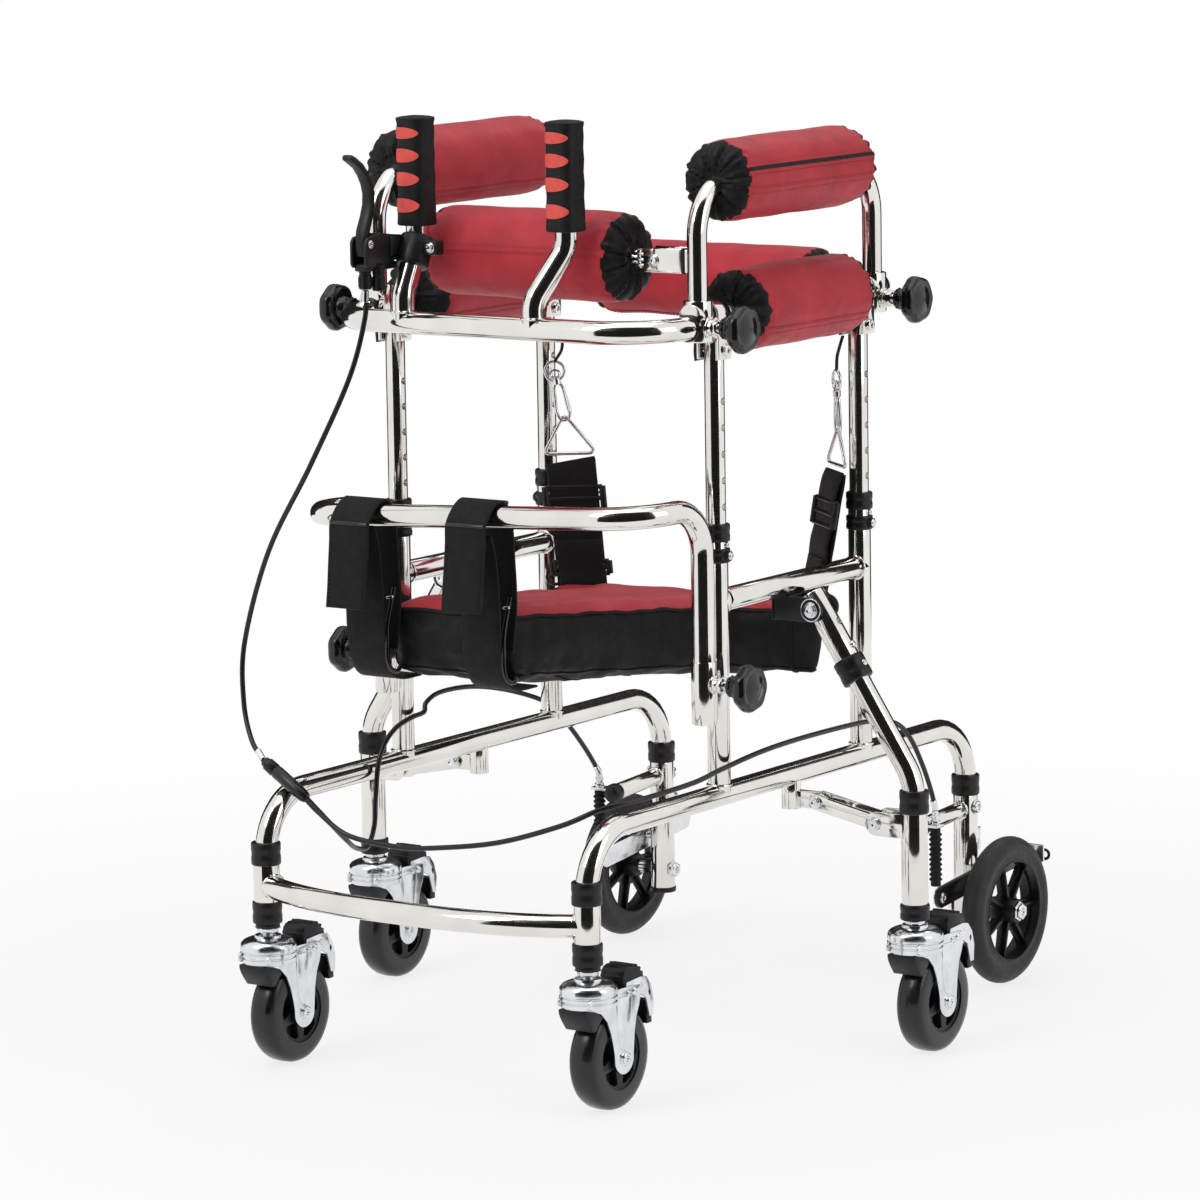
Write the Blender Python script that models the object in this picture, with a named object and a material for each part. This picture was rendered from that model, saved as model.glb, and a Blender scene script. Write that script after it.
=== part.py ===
"""Pediatric walker with casters, outriggers, sling seat and padded side supports, in metres, +Z up.

+X is to the walker's right, +Y to its back. The floor is at zero, and the side frames lie in X = FRAME_X.
"""
import math

import bmesh
import bpy
from mathutils import Matrix, Vector

# Driving dimensions
FRAME_X = 0.186
FRONT_LEG_Y = -0.355
REAR_LEG_Y = 0.3215
POST_YS = (-0.132, 0.1225)
OUTRIGGER_Y = -0.002
MID_BOW_Y = -0.156
MID_BOW_LEFT = -0.222
MID_BOW_Z = (0.5215, 0.5425)
MID_BOW_FOOT = 0.340
MID_KNOB_Z = 0.3745
MID_BOW_FRONT = -0.257
STRAP_TURN = math.radians(38)
FRONT_STRAP = 0.046
FRONT_CLAMP_Y = -0.1585
REAR_CLAMP_Y = 0.150
SIDE_Z = 0.264
RAIL_Z = 0.450
TOP_Z = 0.722
UPPER_PAD_Z = 0.845
TUBE = 0.011
KNOB_BORE = 0.0044
INNER = 0.0095
SLEEVE = 0.0127
SOCKET = 0.0121
COLLAR = 0.0143
POST_COLLAR = 0.0129
GAP = 0.0004
SLIDE = 0.0007

# Rows of holes in the inner posts
HOLES = 5
FIRST_HOLE_Z = 0.540
HOLE_PITCH = 0.025

# Seat, whose plane sinks towards the back, and the pads
SEAT_Z = 0.4145
SEAT_SLOPE = 0.0865
SIDE_PAD_R = 0.044
BACK_PAD_R = 0.042
CHEST_PAD_R = 0.048

# Wheels
CASTER_R = 0.050
CASTER_HALF = 0.014
CASTER_TRAIL = 0.0317
REAR_WHEEL_R = 0.075
REAR_WHEEL_HALF = 0.0125
REAR_WHEEL_X = 0.232
REAR_WHEEL_Z = REAR_WHEEL_R
OUTER_CASTER_X = 0.3225

# Outrigger linkage: pivots as (x, z) on the right, the tube's lean from upright and the cheeks' round end
OUT_PIVOT = (0.218, 0.428)
OUT_LEAN = math.radians(33.3)
CHEEK = 0.012
BRACE_INNER = (0.216, 0.240)
BRACE_OUTER = (0.2865, 0.226)
BRACE_PIN = 0.003

# Brakes
BRAKE_X = 0.2043
BRAKE_PIVOT_Z = 0.110
ADJUSTER_Y = 0.2320

# Each rear strap's foot and head, then the foot, apex and ring of its hook, then the cord above the ring
STRAPS = {"left": ((-0.134, 0.106, 0.415), (-0.1505, 0.112, 0.539)),
          "right": ((0.147, 0.106, 0.415), (0.167, 0.112, 0.547))}
HOOKS = {"left": ((-0.1505, 0.112, 0.5425), (-0.155, 0.1085, 0.5825), (-0.164, 0.106, 0.626)),
         "right": ((0.167, 0.112, 0.5505), (0.171, 0.1085, 0.5875), (0.1715, 0.106, 0.634))}
CORDS = {"left": [(-0.155, 0.107, 0.650), (-0.160, 0.111, 0.667), (-0.1725, 0.1165, 0.6765)],
         "right": [(0.1705, 0.109, 0.657), (0.1715, 0.113, 0.668), (0.1725, 0.1165, 0.6765)]}

# Handles and chest bar, each handle as the x of its foot and of its grip
BOW_Z = 0.712
BOW_FRONT_Y = -0.2445
GRIP_Y = -0.2175
HANDLES = {"left": (-0.0915, -0.093), "right": (0.0595, 0.079)}
GRIP_Z = (0.802, 0.906)
CHEST = (-0.152, 0.773)
CHEST_PIVOT_X = 0.141
CABLE = 0.0025

SIDES = {"left": -1, "right": 1}
COLOURS = {
    "polished_steel": ((0.78, 0.77, 0.75), 0.18, 1.0),
    "zinc": ((0.70, 0.71, 0.72), 0.3, 1.0),
    "black_plastic": ((0.02, 0.02, 0.02), 0.45, 0.0),
    "red_fabric": ((0.55, 0.04, 0.05), 0.5, 0.0),
    "black_rubber": ((0.03, 0.03, 0.03), 0.35, 0.0),
    "webbing": ((0.02, 0.02, 0.02), 0.85, 0.0),
}


def material(slot):
    """The Principled material of this name, made once."""
    if slot in bpy.data.materials:
        return bpy.data.materials[slot]
    colour, roughness, metallic = COLOURS[slot]
    made = bpy.data.materials.new(slot)
    made.use_nodes = True
    shader = made.node_tree.nodes["Principled BSDF"]
    shader.inputs["Base Color"].default_value = (*colour, 1.0)
    shader.inputs["Roughness"].default_value = roughness
    shader.inputs["Metallic"].default_value = metallic
    return made


def linked(mesh):
    """A new object in the scene that holds this mesh or curve."""
    made = bpy.data.objects.new("piece", mesh)
    bpy.context.scene.collection.objects.link(made)
    return made


def from_bmesh(shape):
    """A new object from a bmesh, with its faces turned outwards."""
    bmesh.ops.recalc_face_normals(shape, faces=shape.faces)
    mesh = bpy.data.meshes.new("piece")
    shape.to_mesh(mesh)
    shape.free()
    return linked(mesh)


def evaluated(made):
    """The object's mesh with its modifiers or its curve worked out."""
    depsgraph = bpy.context.evaluated_depsgraph_get()
    return bpy.data.meshes.new_from_object(made.evaluated_get(depsgraph))


def rod(start, end, radius, sides=8):
    """A round bar between two points."""
    start, end = Vector(start), Vector(end)
    turn = (end - start).to_track_quat("Z", "Y").to_matrix().to_4x4()
    shape = bmesh.new()
    bmesh.ops.create_cone(shape, cap_ends=True, segments=sides, radius1=radius, radius2=radius,
                          depth=(end - start).length, matrix=Matrix.Translation((start + end) / 2) @ turn)
    return from_bmesh(shape)


def bore(start, end, radius, sides=8):
    """A cutter whose flats lie at the radius."""
    return rod(start, end, radius / math.cos(math.pi / sides), sides)


def block(low, high):
    """A box between two corners."""
    low, high = Vector(low), Vector(high)
    shape = bmesh.new()
    bmesh.ops.create_cube(shape, size=1.0)
    bmesh.ops.scale(shape, vec=[abs(v) for v in high - low], verts=shape.verts)
    bmesh.ops.translate(shape, vec=(low + high) / 2, verts=shape.verts)
    return from_bmesh(shape)


def bend(corners, radii, steps=4):
    """The path through these corners, each rounded to its radius."""
    corners = [Vector(corner) for corner in corners]
    if not isinstance(radii, (list, tuple)):
        radii = [radii] * (len(corners) - 2)
    path = [corners[0]]
    for before, corner, after, radius in zip(corners, corners[1:], corners[2:], radii):
        back = (before - corner).normalized()
        ahead = (after - corner).normalized()
        half = back.angle(ahead) / 2
        centre = corner + (back + ahead).normalized() * radius / math.sin(half)
        first = corner + back * radius / math.tan(half) - centre
        axis = back.cross(ahead).normalized()
        for step in range(steps + 1):
            angle = -(math.pi - 2 * half) * step / steps
            path.append(centre + Matrix.Rotation(angle, 3, axis) @ first)
    path.append(corners[-1])
    return path


def smooth(route, spacing):
    """Evenly spaced points on a smooth curve through the route's points."""
    points = [Vector(point) for point in route]
    points = [2 * points[0] - points[1]] + points + [2 * points[-1] - points[-2]]
    fine = []
    for a, b, c, d in zip(points, points[1:], points[2:], points[3:]):
        for step in range(20):
            t = step / 20
            fine.append(0.5 * (2 * b + (c - a) * t + (2 * a - 5 * b + 4 * c - d) * t ** 2
                               + (3 * b - a - 3 * c + d) * t ** 3))
    fine.append(points[-2])
    length = sum((q - p).length for p, q in zip(fine, fine[1:]))
    count = max(2, round(length / spacing))
    even, travelled, target = [fine[0]], 0.0, length / count
    for p, q in zip(fine, fine[1:]):
        travelled += (q - p).length
        if travelled >= target and len(even) < count:
            even.append(q)
            target += length / count
    even.append(fine[-1])
    return even


def pipe(path, radius, resolution=2, factors=None):
    """A round tube along a path, with closed ends; factors vary its radius from point to point."""
    curve = bpy.data.curves.new("piece", "CURVE")
    curve.dimensions = "3D"
    curve.bevel_depth = radius
    curve.bevel_resolution = resolution
    curve.use_fill_caps = True
    curve.render_resolution_u = 0
    spline = curve.splines.new("POLY")
    spline.points.add(len(path) - 1)
    for index, place in enumerate(path):
        spline.points[index].co = (*place, 1.0)
        spline.points[index].radius = factors[index] if factors else 1.0
    made = linked(curve)
    mesh = evaluated(made)
    bpy.data.objects.remove(made, do_unlink=True)
    shape = bmesh.new()
    shape.from_mesh(mesh)
    bmesh.ops.remove_doubles(shape, verts=shape.verts, dist=1e-6)
    return from_bmesh(shape)


def turned(profile, start, along, sides=16):
    """A solid of revolution: profile gives (distance along the axis, radius), from end to end."""
    start, along = Vector(start), Vector(along).normalized()
    turn = Matrix.Translation(start) @ along.to_track_quat("Z", "Y").to_matrix().to_4x4()
    shape = bmesh.new()
    verts = [shape.verts.new((radius, 0.0, distance)) for distance, radius in profile]
    edges = [shape.edges.new(pair) for pair in zip(verts, verts[1:])]
    bmesh.ops.spin(shape, geom=verts + edges, cent=(0, 0, 0), axis=(0, 0, 1), dvec=(0, 0, 0),
                   angle=2 * math.pi, steps=sides, use_merge=False, use_duplicate=False)
    bmesh.ops.remove_doubles(shape, verts=shape.verts, dist=1e-6)
    bmesh.ops.holes_fill(shape, edges=[edge for edge in shape.edges if edge.is_boundary], sides=0)
    bmesh.ops.transform(shape, matrix=turn, verts=shape.verts)
    return from_bmesh(shape)


def plate(outline, to_point, low, high):
    """An outline of (a, b) pairs extruded from low to high; to_point(a, b, depth) places a corner."""
    shape = bmesh.new()
    face = shape.faces.new([shape.verts.new(to_point(a, b, low)) for a, b in outline])
    grown = bmesh.ops.extrude_face_region(shape, geom=[face])
    moved = [item for item in grown["geom"] if isinstance(item, bmesh.types.BMVert)]
    shift = Vector(to_point(0, 0, high)) - Vector(to_point(0, 0, low))
    bmesh.ops.translate(shape, vec=shift, verts=moved)
    return from_bmesh(shape)


def side_plane(a, b, depth):
    """Outline plane of the side view: a is Y, b is Z, the depth is X."""
    return (depth, a, b)


def front_plane(a, b, depth):
    """Outline plane of the front view: a is X, b is Z, the depth is Y."""
    return (a, depth, b)


def arc(centre, radius, start, end, steps):
    """Points on an arc, in degrees, as (a, b) pairs."""
    angles = [math.radians(start + (end - start) * step / steps) for step in range(steps + 1)]
    return [(centre[0] + radius * math.cos(angle), centre[1] + radius * math.sin(angle)) for angle in angles]


def band(path, across, width, thickness):
    """A flat strap along a path; across is the direction of its width."""
    across = Vector(across).normalized() * width / 2
    path = [Vector(point) for point in path]
    shape = bmesh.new()
    rings = []
    for index, place in enumerate(path):
        ahead = path[min(index + 1, len(path) - 1)] - path[max(index - 1, 0)]
        out = ahead.cross(across).normalized() * thickness / 2
        corners = (place + across + out, place - across + out, place - across - out, place + across - out)
        rings.append([shape.verts.new(corner) for corner in corners])
    for one, other in zip(rings, rings[1:]):
        for k in range(4):
            shape.faces.new((one[k], one[(k + 1) % 4], other[(k + 1) % 4], other[k]))
    shape.faces.new(rings[0])
    shape.faces.new(rings[-1])
    return from_bmesh(shape)


def ball(centre, radius, segments=8):
    """A small sphere."""
    shape = bmesh.new()
    bmesh.ops.create_uvsphere(shape, u_segments=segments, v_segments=segments // 2, radius=radius,
                              matrix=Matrix.Translation(centre))
    return from_bmesh(shape)


def shaped(pieces, cuts=()):
    """One object made by joining the pieces and then taking the cuts away."""
    body, others = pieces[0], list(pieces[1:])
    for operand in others + list(cuts):
        step = body.modifiers.new("join", "BOOLEAN")
        step.solver = "EXACT"
        step.operation = "UNION" if operand in others else "DIFFERENCE"
        step.object = operand
    mesh = evaluated(body)
    for used in [body] + others + list(cuts):
        bpy.data.objects.remove(used, do_unlink=True)
    shape = bmesh.new()
    shape.from_mesh(mesh)
    bmesh.ops.remove_doubles(shape, verts=shape.verts, dist=2e-6)
    bmesh.ops.dissolve_degenerate(shape, edges=shape.edges, dist=2e-6)
    return from_bmesh(shape)


def finish(name, slot, made, pivot=(0, 0, 0)):
    """Names an object, gives it its material and puts its origin on its joint's axis."""
    pivot = Vector(pivot)
    made.name = name
    made.data.name = name
    made.data.transform(Matrix.Translation(-pivot))
    made.location = pivot
    made.data.materials.clear()
    made.data.materials.append(material(slot))
    made.data.shade_smooth()
    made.data.set_sharp_from_angle(angle=math.radians(35))
    return made


def side_frame(side, s):
    """Low side tube with its bent ends, the two outer posts, the rail and the brackets welded to them."""
    x = s * FRAME_X
    path = bend([(x, FRONT_LEG_Y, 0.205), (x, FRONT_LEG_Y, SIDE_Z), (x, REAR_LEG_Y, SIDE_Z),
                 (x, REAR_LEG_Y, 0.200)], 0.058)
    pieces = [pipe(path, TUBE)]
    cuts = []
    pieces.append(rod((x, FRONT_LEG_Y, 0.1983), (x, FRONT_LEG_Y, 0.220), COLLAR))
    pieces.append(rod((x, REAR_LEG_Y, 0.1903), (x, REAR_LEG_Y, 0.211), COLLAR))
    for y in POST_YS:
        pieces.append(rod((x, y, SIDE_Z), (x, y, 0.521), TUBE, 10))
        pieces.append(rod((x, y, 0.507), (x, y, 0.524), POST_COLLAR, 10))
        pieces.append(rod((x, y, 0.487), (x, y, 0.501), POST_COLLAR, 10))
        pieces.append(rod((x, y, 0.504), (x + s * 0.0175, y, 0.504), 0.0035, 6))
        cuts.append(bore((x, y, 0.300), (x, y, 0.540), INNER + SLIDE, 10))
    pieces.append(rod((x, POST_YS[0], RAIL_Z), (x, POST_YS[1], RAIL_Z), TUBE))
    # Socket of the middle bow
    pieces.append(rod((x, MID_BOW_Y, 0.336), (x, MID_BOW_Y, 0.396), SOCKET, 10))
    pieces.append(block((x - 0.006, MID_BOW_Y + 0.008, 0.341), (x + 0.006, POST_YS[0] - 0.006, 0.391)))
    pieces.append(rod((x, MID_BOW_Y, MID_KNOB_Z), (x + s * 0.0205, MID_BOW_Y, MID_KNOB_Z), 0.009))
    cuts.append(bore((x, MID_BOW_Y, 0.320), (x, MID_BOW_Y, 0.410), TUBE + GAP, 10))
    cuts.append(bore((x, MID_BOW_Y, MID_KNOB_Z), (x + s * 0.030, MID_BOW_Y, MID_KNOB_Z), KNOB_BORE, 8))
    # Stub and ear for the outrigger's brace
    qx, qz = s * BRACE_INNER[0], BRACE_INNER[1]
    pieces.append(rod((x, -0.006, SIDE_Z), (x, -0.006, 0.230), INNER))
    ear = [(x, 0.232), (qx, 0.232)] + arc((qx, qz), 0.008, -90, 90 if s > 0 else -270, 4)[1:-1]
    ear += [(qx, 0.248), (x, 0.248)]
    pieces.append(plate(ear, front_plane, -0.0072, 0.0032))
    pieces.append(rod((qx, -0.0135, qz), (qx, 0.0095, qz), BRACE_PIN, 6))
    # Clamp of the outrigger under the rail
    px, pz = s * OUT_PIVOT[0], OUT_PIVOT[1]
    pieces.append(block((s * 0.173, OUTRIGGER_Y - 0.0160, 0.431), (s * 0.195, OUTRIGGER_Y + 0.0160, 0.447)))
    cheek = [(s * 0.176, pz - CHEEK), (px, pz - CHEEK)]
    cheek += arc((px, pz), CHEEK, -90, 90 if s > 0 else -270, 4)[1:-1]
    cheek += [(px, pz + CHEEK), (s * 0.176, pz + CHEEK)]
    for low, high in ((-0.0165, -0.0135), (0.0135, 0.0165)):
        pieces.append(plate(cheek, front_plane, OUTRIGGER_Y + low, OUTRIGGER_Y + high))
    pieces.append(rod((px, OUTRIGGER_Y - 0.019, pz), (px, OUTRIGGER_Y + 0.019, pz), 0.004, 8))
    finish("side_frame_" + side, "polished_steel", shaped(pieces, cuts))


def front_bow():
    """The low bow between the front legs, with their sleeves, lower collars and caster nuts."""
    count = 8
    xs = [0.184 * (2 * step / count - 1) for step in range(count + 1)]
    path = [(x, FRONT_LEG_Y - 0.039 + 0.039 * abs(x / 0.184) ** 2.7, 0.178) for x in xs]
    pieces = [pipe(path, TUBE)]
    cuts = []
    for s in SIDES.values():
        x = s * FRAME_X
        pieces.append(rod((x, FRONT_LEG_Y, 0.150), (x, FRONT_LEG_Y, 0.198), SLEEVE))
        pieces.append(rod((x, FRONT_LEG_Y, 0.1415), (x, FRONT_LEG_Y, 0.163), COLLAR))
        pieces.append(rod((x, FRONT_LEG_Y, 0.1325), (x, FRONT_LEG_Y, 0.145), 0.010, 6))
        cuts.append(bore((x, FRONT_LEG_Y, 0.120), (x, FRONT_LEG_Y, 0.162), 0.006, 8))
    finish("front_bow", "polished_steel", shaped(pieces, cuts))


def rear_leg(side, s):
    """Rear leg with its end cap, forward stub and cable adjuster, wheel axle and brake pivot."""
    x, y = s * FRAME_X, REAR_LEG_Y
    pieces = [rod((x, y, 0.053), (x, y, 0.1897), SLEEVE), rod((x, y, 0.0505), (x, y, 0.0560), 0.0136)]
    pieces.append(rod((x, y, 0.176), (x, y - 0.088, 0.1705), 0.0085))
    pieces.append(ball((x, y - 0.090, 0.1702), 0.0098, 6))
    bx = s * BRAKE_X
    tab_low, tab_high = sorted((x, bx + s * 0.0065))
    pieces.append(block((tab_low, ADJUSTER_Y - 0.0075, 0.1725), (tab_high, ADJUSTER_Y + 0.0075, 0.1760)))
    pieces.append(rod((bx, ADJUSTER_Y, 0.1735), (bx, ADJUSTER_Y, 0.1885), 0.0042, 6))
    axle = ((-0.0185, 0.0306, 0.0078), (0.0, 0.0655, 0.0052), (0.0625, 0.0675, 0.009))
    for low, high, radius in axle:
        pieces.append(rod((x + s * low, y, REAR_WHEEL_Z), (x + s * high, y, REAR_WHEEL_Z), radius, 6))
    pieces.append(rod((x, y, BRAKE_PIVOT_Z), (s * 0.2115, y, BRAKE_PIVOT_Z), 0.0042, 6))
    pieces.append(rod((s * 0.2087, y, BRAKE_PIVOT_Z), (s * 0.2125, y, BRAKE_PIVOT_Z), 0.007, 6))
    pieces.append(rod((x, y, 0.176), (x, y + 0.019, 0.176), 0.007, 6))
    pieces.append(block((x - 0.002, y + 0.008, 0.128), (x + 0.002, y + 0.028, 0.152)))
    finish("rear_leg_" + side, "polished_steel", shaped(pieces))


def rear_wheel(side, s):
    """Spoked rear wheel with its tyre; seven spokes leave openings round the hub."""
    x, y, z = s * REAR_WHEEL_X, REAR_LEG_Y, REAR_WHEEL_Z
    half, r = REAR_WHEEL_HALF, REAR_WHEEL_R
    profile = [(-half, r - 0.009), (-0.0075, r - 0.0015), (0.0, r), (0.0075, r - 0.0015), (half, r - 0.009)]
    tyre = turned(profile, (x, y, z), (1, 0, 0), 28)
    cuts = []
    for index in range(7):
        middle = 360 * (index + 0.5) / 7
        window = arc((y, z), 0.051, middle - 19, middle + 19, 2)
        window += arc((y, z), 0.018, middle + 8, middle - 8, 1)
        cuts.append(plate(window, side_plane, x - 0.02, x + 0.02))
    cuts.append(bore((x - 0.03, y, z), (x + 0.03, y, z), 0.0056, 8))
    finish("rear_wheel_" + side, "black_rubber", shaped([tyre], cuts), (x, y, z))


def brake_arm(side, s):
    """Brake lever bar beside the rear wheel, with its shoe plate and eye behind the tyre."""
    y, z = REAR_LEG_Y, BRAKE_PIVOT_Z
    low, high = sorted((s * 0.2013, s * 0.2076))
    outline = arc((y - 0.080, 0.099), 0.0105, 100, 260, 4) + arc((y + 0.066, 0.115), 0.0105, -80, 80, 4)
    bar = plate(outline, side_plane, low, high)
    inner, outer = sorted((s * 0.204, s * 0.237))
    shoe = block((inner, y + 0.0695, 0.1125), (outer, y + 0.0755, 0.130))
    eye = rod((s * 0.233, y + 0.0700, 0.1185), (s * 0.233, y + 0.0835, 0.1185), 0.007, 10)
    cuts = [bore((s * 0.19, y, z), (s * 0.22, y, z), 0.0045, 8),
            rod((s * 0.233, y + 0.05, 0.1185), (s * 0.233, y + 0.09, 0.1185), 0.003, 8)]
    finish("brake_arm_" + side, "black_plastic", shaped([bar, shoe, eye], cuts), (s * BRAKE_X, y, z))


def brake_boot(side, s):
    """Ribbed rubber boot round the brake cable, between the adjuster and the arm."""
    top, bottom, ribs = 0.1721, 0.1125, 8
    path = [(s * BRAKE_X, ADJUSTER_Y, top), (s * BRAKE_X, ADJUSTER_Y, top - 0.004)]
    factors = [0.8, 0.8]
    for index in range(2 * ribs):
        t = index / (2 * ribs - 1)
        path.append((s * BRAKE_X, ADJUSTER_Y, top - 0.006 + (bottom + 0.006 - top + 0.006) * t))
        factors.append(1.0 if index % 2 == 0 else 0.72)
    path += [(s * BRAKE_X, ADJUSTER_Y, bottom + 0.004), (s * BRAKE_X, ADJUSTER_Y, bottom)]
    factors += [0.8, 0.8]
    finish("brake_boot_" + side, "black_rubber", pipe(path, 0.0070, 2, factors))


def caster(name, x, y):
    """Swivel caster: fork with stem and raceway, wheel, and toe brake pedal."""
    ay, az = y + CASTER_TRAIL, CASTER_R
    top = turned([(0.102, 0.024), (0.110, 0.027), (0.123, 0.027), (0.1305, 0.012)], (x, y, 0), (0, 0, 1), 10)
    pieces = [top, rod((x, y, 0.120), (x, y, 0.157), 0.0057, 6)]
    outline = [(y - 0.026, 0.111), (y + 0.008, 0.080), (ay - 0.0155, 0.058)]
    outline += arc((ay, az), 0.015, 190, 350, 3)
    outline += [(y + 0.049, 0.066), (y + 0.058, 0.096), (y + 0.059, 0.113), (y + 0.030, 0.116)]
    for s in (-1, 1):
        pieces.append(plate(outline, side_plane, x + s * 0.0155, x + s * 0.0182))
    pieces.append(block((x - 0.0165, y - 0.020, 0.103), (x + 0.0165, y + 0.034, 0.108)))
    guard = arc((ay, az), 0.0565, 106, 164, 2) + arc((ay, az), 0.0535, 164, 106, 2)
    pieces.append(plate(guard, side_plane, x - 0.0158, x + 0.0158))
    pieces.append(rod((x - 0.0215, ay, az), (x + 0.0215, ay, az), 0.004, 6))
    pieces.append(rod((x - 0.017, y + 0.050, 0.110), (x + 0.017, y + 0.050, 0.110), 0.002, 6))
    finish("caster_fork_" + name, "zinc", shaped(pieces), (x, y, 0.120))
    half, r = CASTER_HALF, CASTER_R
    profile = [(-half, r - 0.007), (-0.007, r), (0.007, r), (half, r - 0.007)]
    wheel = turned(profile, (x, ay, az), (1, 0, 0), 20)
    hole = bore((x - 0.03, ay, az), (x + 0.03, ay, az), 0.0046, 6)
    finish("caster_wheel_" + name, "black_rubber", shaped([wheel], [hole]), (x, ay, az))
    pedal = [(y + 0.0385, 0.113), (y + 0.0385, 0.128), (y + 0.046, 0.133), (y + 0.048, 0.129),
             (y + 0.056, 0.131), (y + 0.058, 0.127), (y + 0.066, 0.128), (y + 0.080, 0.119),
             (y + 0.088, 0.092), (y + 0.0885, 0.072), (y + 0.085, 0.072), (y + 0.0775, 0.098),
             (y + 0.064, 0.107), (y + 0.050, 0.106)]
    solid = plate(pedal, side_plane, x - 0.0135, x + 0.0135)
    cut = bore((x - 0.02, y + 0.050, 0.110), (x + 0.02, y + 0.050, 0.110), 0.0024, 6)
    finish("caster_pedal_" + name, "black_plastic", shaped([solid], [cut]), (x, y + 0.050, 0.110))


def outrigger_point(s, down, across=0.0):
    """A point at a distance down the outrigger's tube from its pivot, and across it outwards."""
    x = OUT_PIVOT[0] + down * math.sin(OUT_LEAN) + across * math.cos(OUT_LEAN)
    z = OUT_PIVOT[1] - down * math.cos(OUT_LEAN) + across * math.sin(OUT_LEAN)
    return (s * x, OUTRIGGER_Y, z)


def outrigger(side, s):
    """Sloping outer tube on its hinge, the telescoping leg inside it, and the brace below."""
    pivot = outrigger_point(s, 0.0)
    tube = [rod(outrigger_point(s, -0.016), outrigger_point(s, 0.079), 0.0125, 10),
            rod(outrigger_point(s, 0.056), outrigger_point(s, 0.080), 0.0155, 10),
            rod(outrigger_point(s, 0.047, 0.009), outrigger_point(s, 0.047, 0.0145), 0.0035, 8)]
    front = (pivot[0], OUTRIGGER_Y - 0.02, pivot[2])
    back = (pivot[0], OUTRIGGER_Y + 0.02, pivot[2])
    cuts = [bore(outrigger_point(s, 0.007), outrigger_point(s, 0.100), TUBE + GAP, 10),
            bore(front, back, 0.0045, 8),
            rod(outrigger_point(s, 0.021), outrigger_point(s, 0.021, 0.02), 0.004, 6)]
    finish("outrigger_tube_" + side, "polished_steel", shaped(tube, cuts), pivot)
    corner = (OUTER_CASTER_X - OUT_PIVOT[0]) / math.sin(OUT_LEAN)
    x = s * OUTER_CASTER_X
    path = bend([outrigger_point(s, 0.038), outrigger_point(s, corner), (x, OUTRIGGER_Y, 0.150)], 0.060)
    leg = [pipe(path, TUBE), rod((x, OUTRIGGER_Y, 0.238), (x, OUTRIGGER_Y, 0.260), COLLAR),
           rod((x, OUTRIGGER_Y, 0.145), (x, OUTRIGGER_Y, 0.240), SLEEVE),
           rod((x, OUTRIGGER_Y, 0.1320), (x, OUTRIGGER_Y, 0.149), COLLAR)]
    rx, rz = s * BRACE_OUTER[0], BRACE_OUTER[1]
    ear = arc((rx, rz), 0.0115, 90, 270 if s > 0 else -90, 4)
    ear += [(x - s * 0.006, rz - 0.0115), (x - s * 0.006, rz + 0.0115)]
    for low, high in ((-0.0125, -0.0095), (0.0095, 0.0125)):
        leg.append(plate(ear, front_plane, OUTRIGGER_Y + low, OUTRIGGER_Y + high))
    leg.append(rod((rx, OUTRIGGER_Y - 0.0155, rz), (rx, OUTRIGGER_Y + 0.0155, rz), BRACE_PIN, 6))
    hole = bore((x, OUTRIGGER_Y, 0.120), (x, OUTRIGGER_Y, 0.162), 0.006, 8)
    finish("outrigger_leg_" + side, "polished_steel", shaped(leg, [hole]), pivot)
    inner = Vector((s * BRACE_INNER[0], OUTRIGGER_Y, BRACE_INNER[1]))
    outer = Vector((rx, OUTRIGGER_Y, rz))
    ahead = (outer - inner).normalized()
    rise = Vector((0, 1, 0)).cross(ahead) * -s
    link_path = [inner - ahead * 0.0075, outer + ahead * 0.0085]
    channel = band(link_path, rise, 0.016, 0.0175)
    hollow_path = [inner - ahead * 0.02 - rise * 0.004, outer + ahead * 0.02 - rise * 0.004]
    hollow = band(hollow_path, rise, 0.020, 0.0128)
    cuts = [hollow, rod(inner - Vector((0, 0.0064, 0)), inner + Vector((0, 0.0064, 0)), 0.0125)]
    for centre, radius in ((inner, 0.0035), (outer, 0.0046)):
        cuts.append(bore(centre - Vector((0, 0.02, 0)), centre + Vector((0, 0.02, 0)), radius, 8))
    finish("brace_link_" + side, "polished_steel", shaped([channel], cuts), inner)


def mid_bow():
    """Middle bow that carries the seat's front: its legs stand in the side frames' sockets."""
    left, right = MID_BOW_Z
    corners = [(-FRAME_X, MID_BOW_Y, MID_BOW_FOOT), (-FRAME_X, MID_BOW_Y, left),
               (MID_BOW_LEFT, MID_BOW_FRONT, left), (FRAME_X, MID_BOW_FRONT, right),
               (FRAME_X, MID_BOW_Y, right), (FRAME_X, MID_BOW_Y, MID_BOW_FOOT)]
    finish("mid_bow", "polished_steel", pipe(bend(corners, [0.045, 0.040, 0.054, 0.045]), TUBE))


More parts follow.
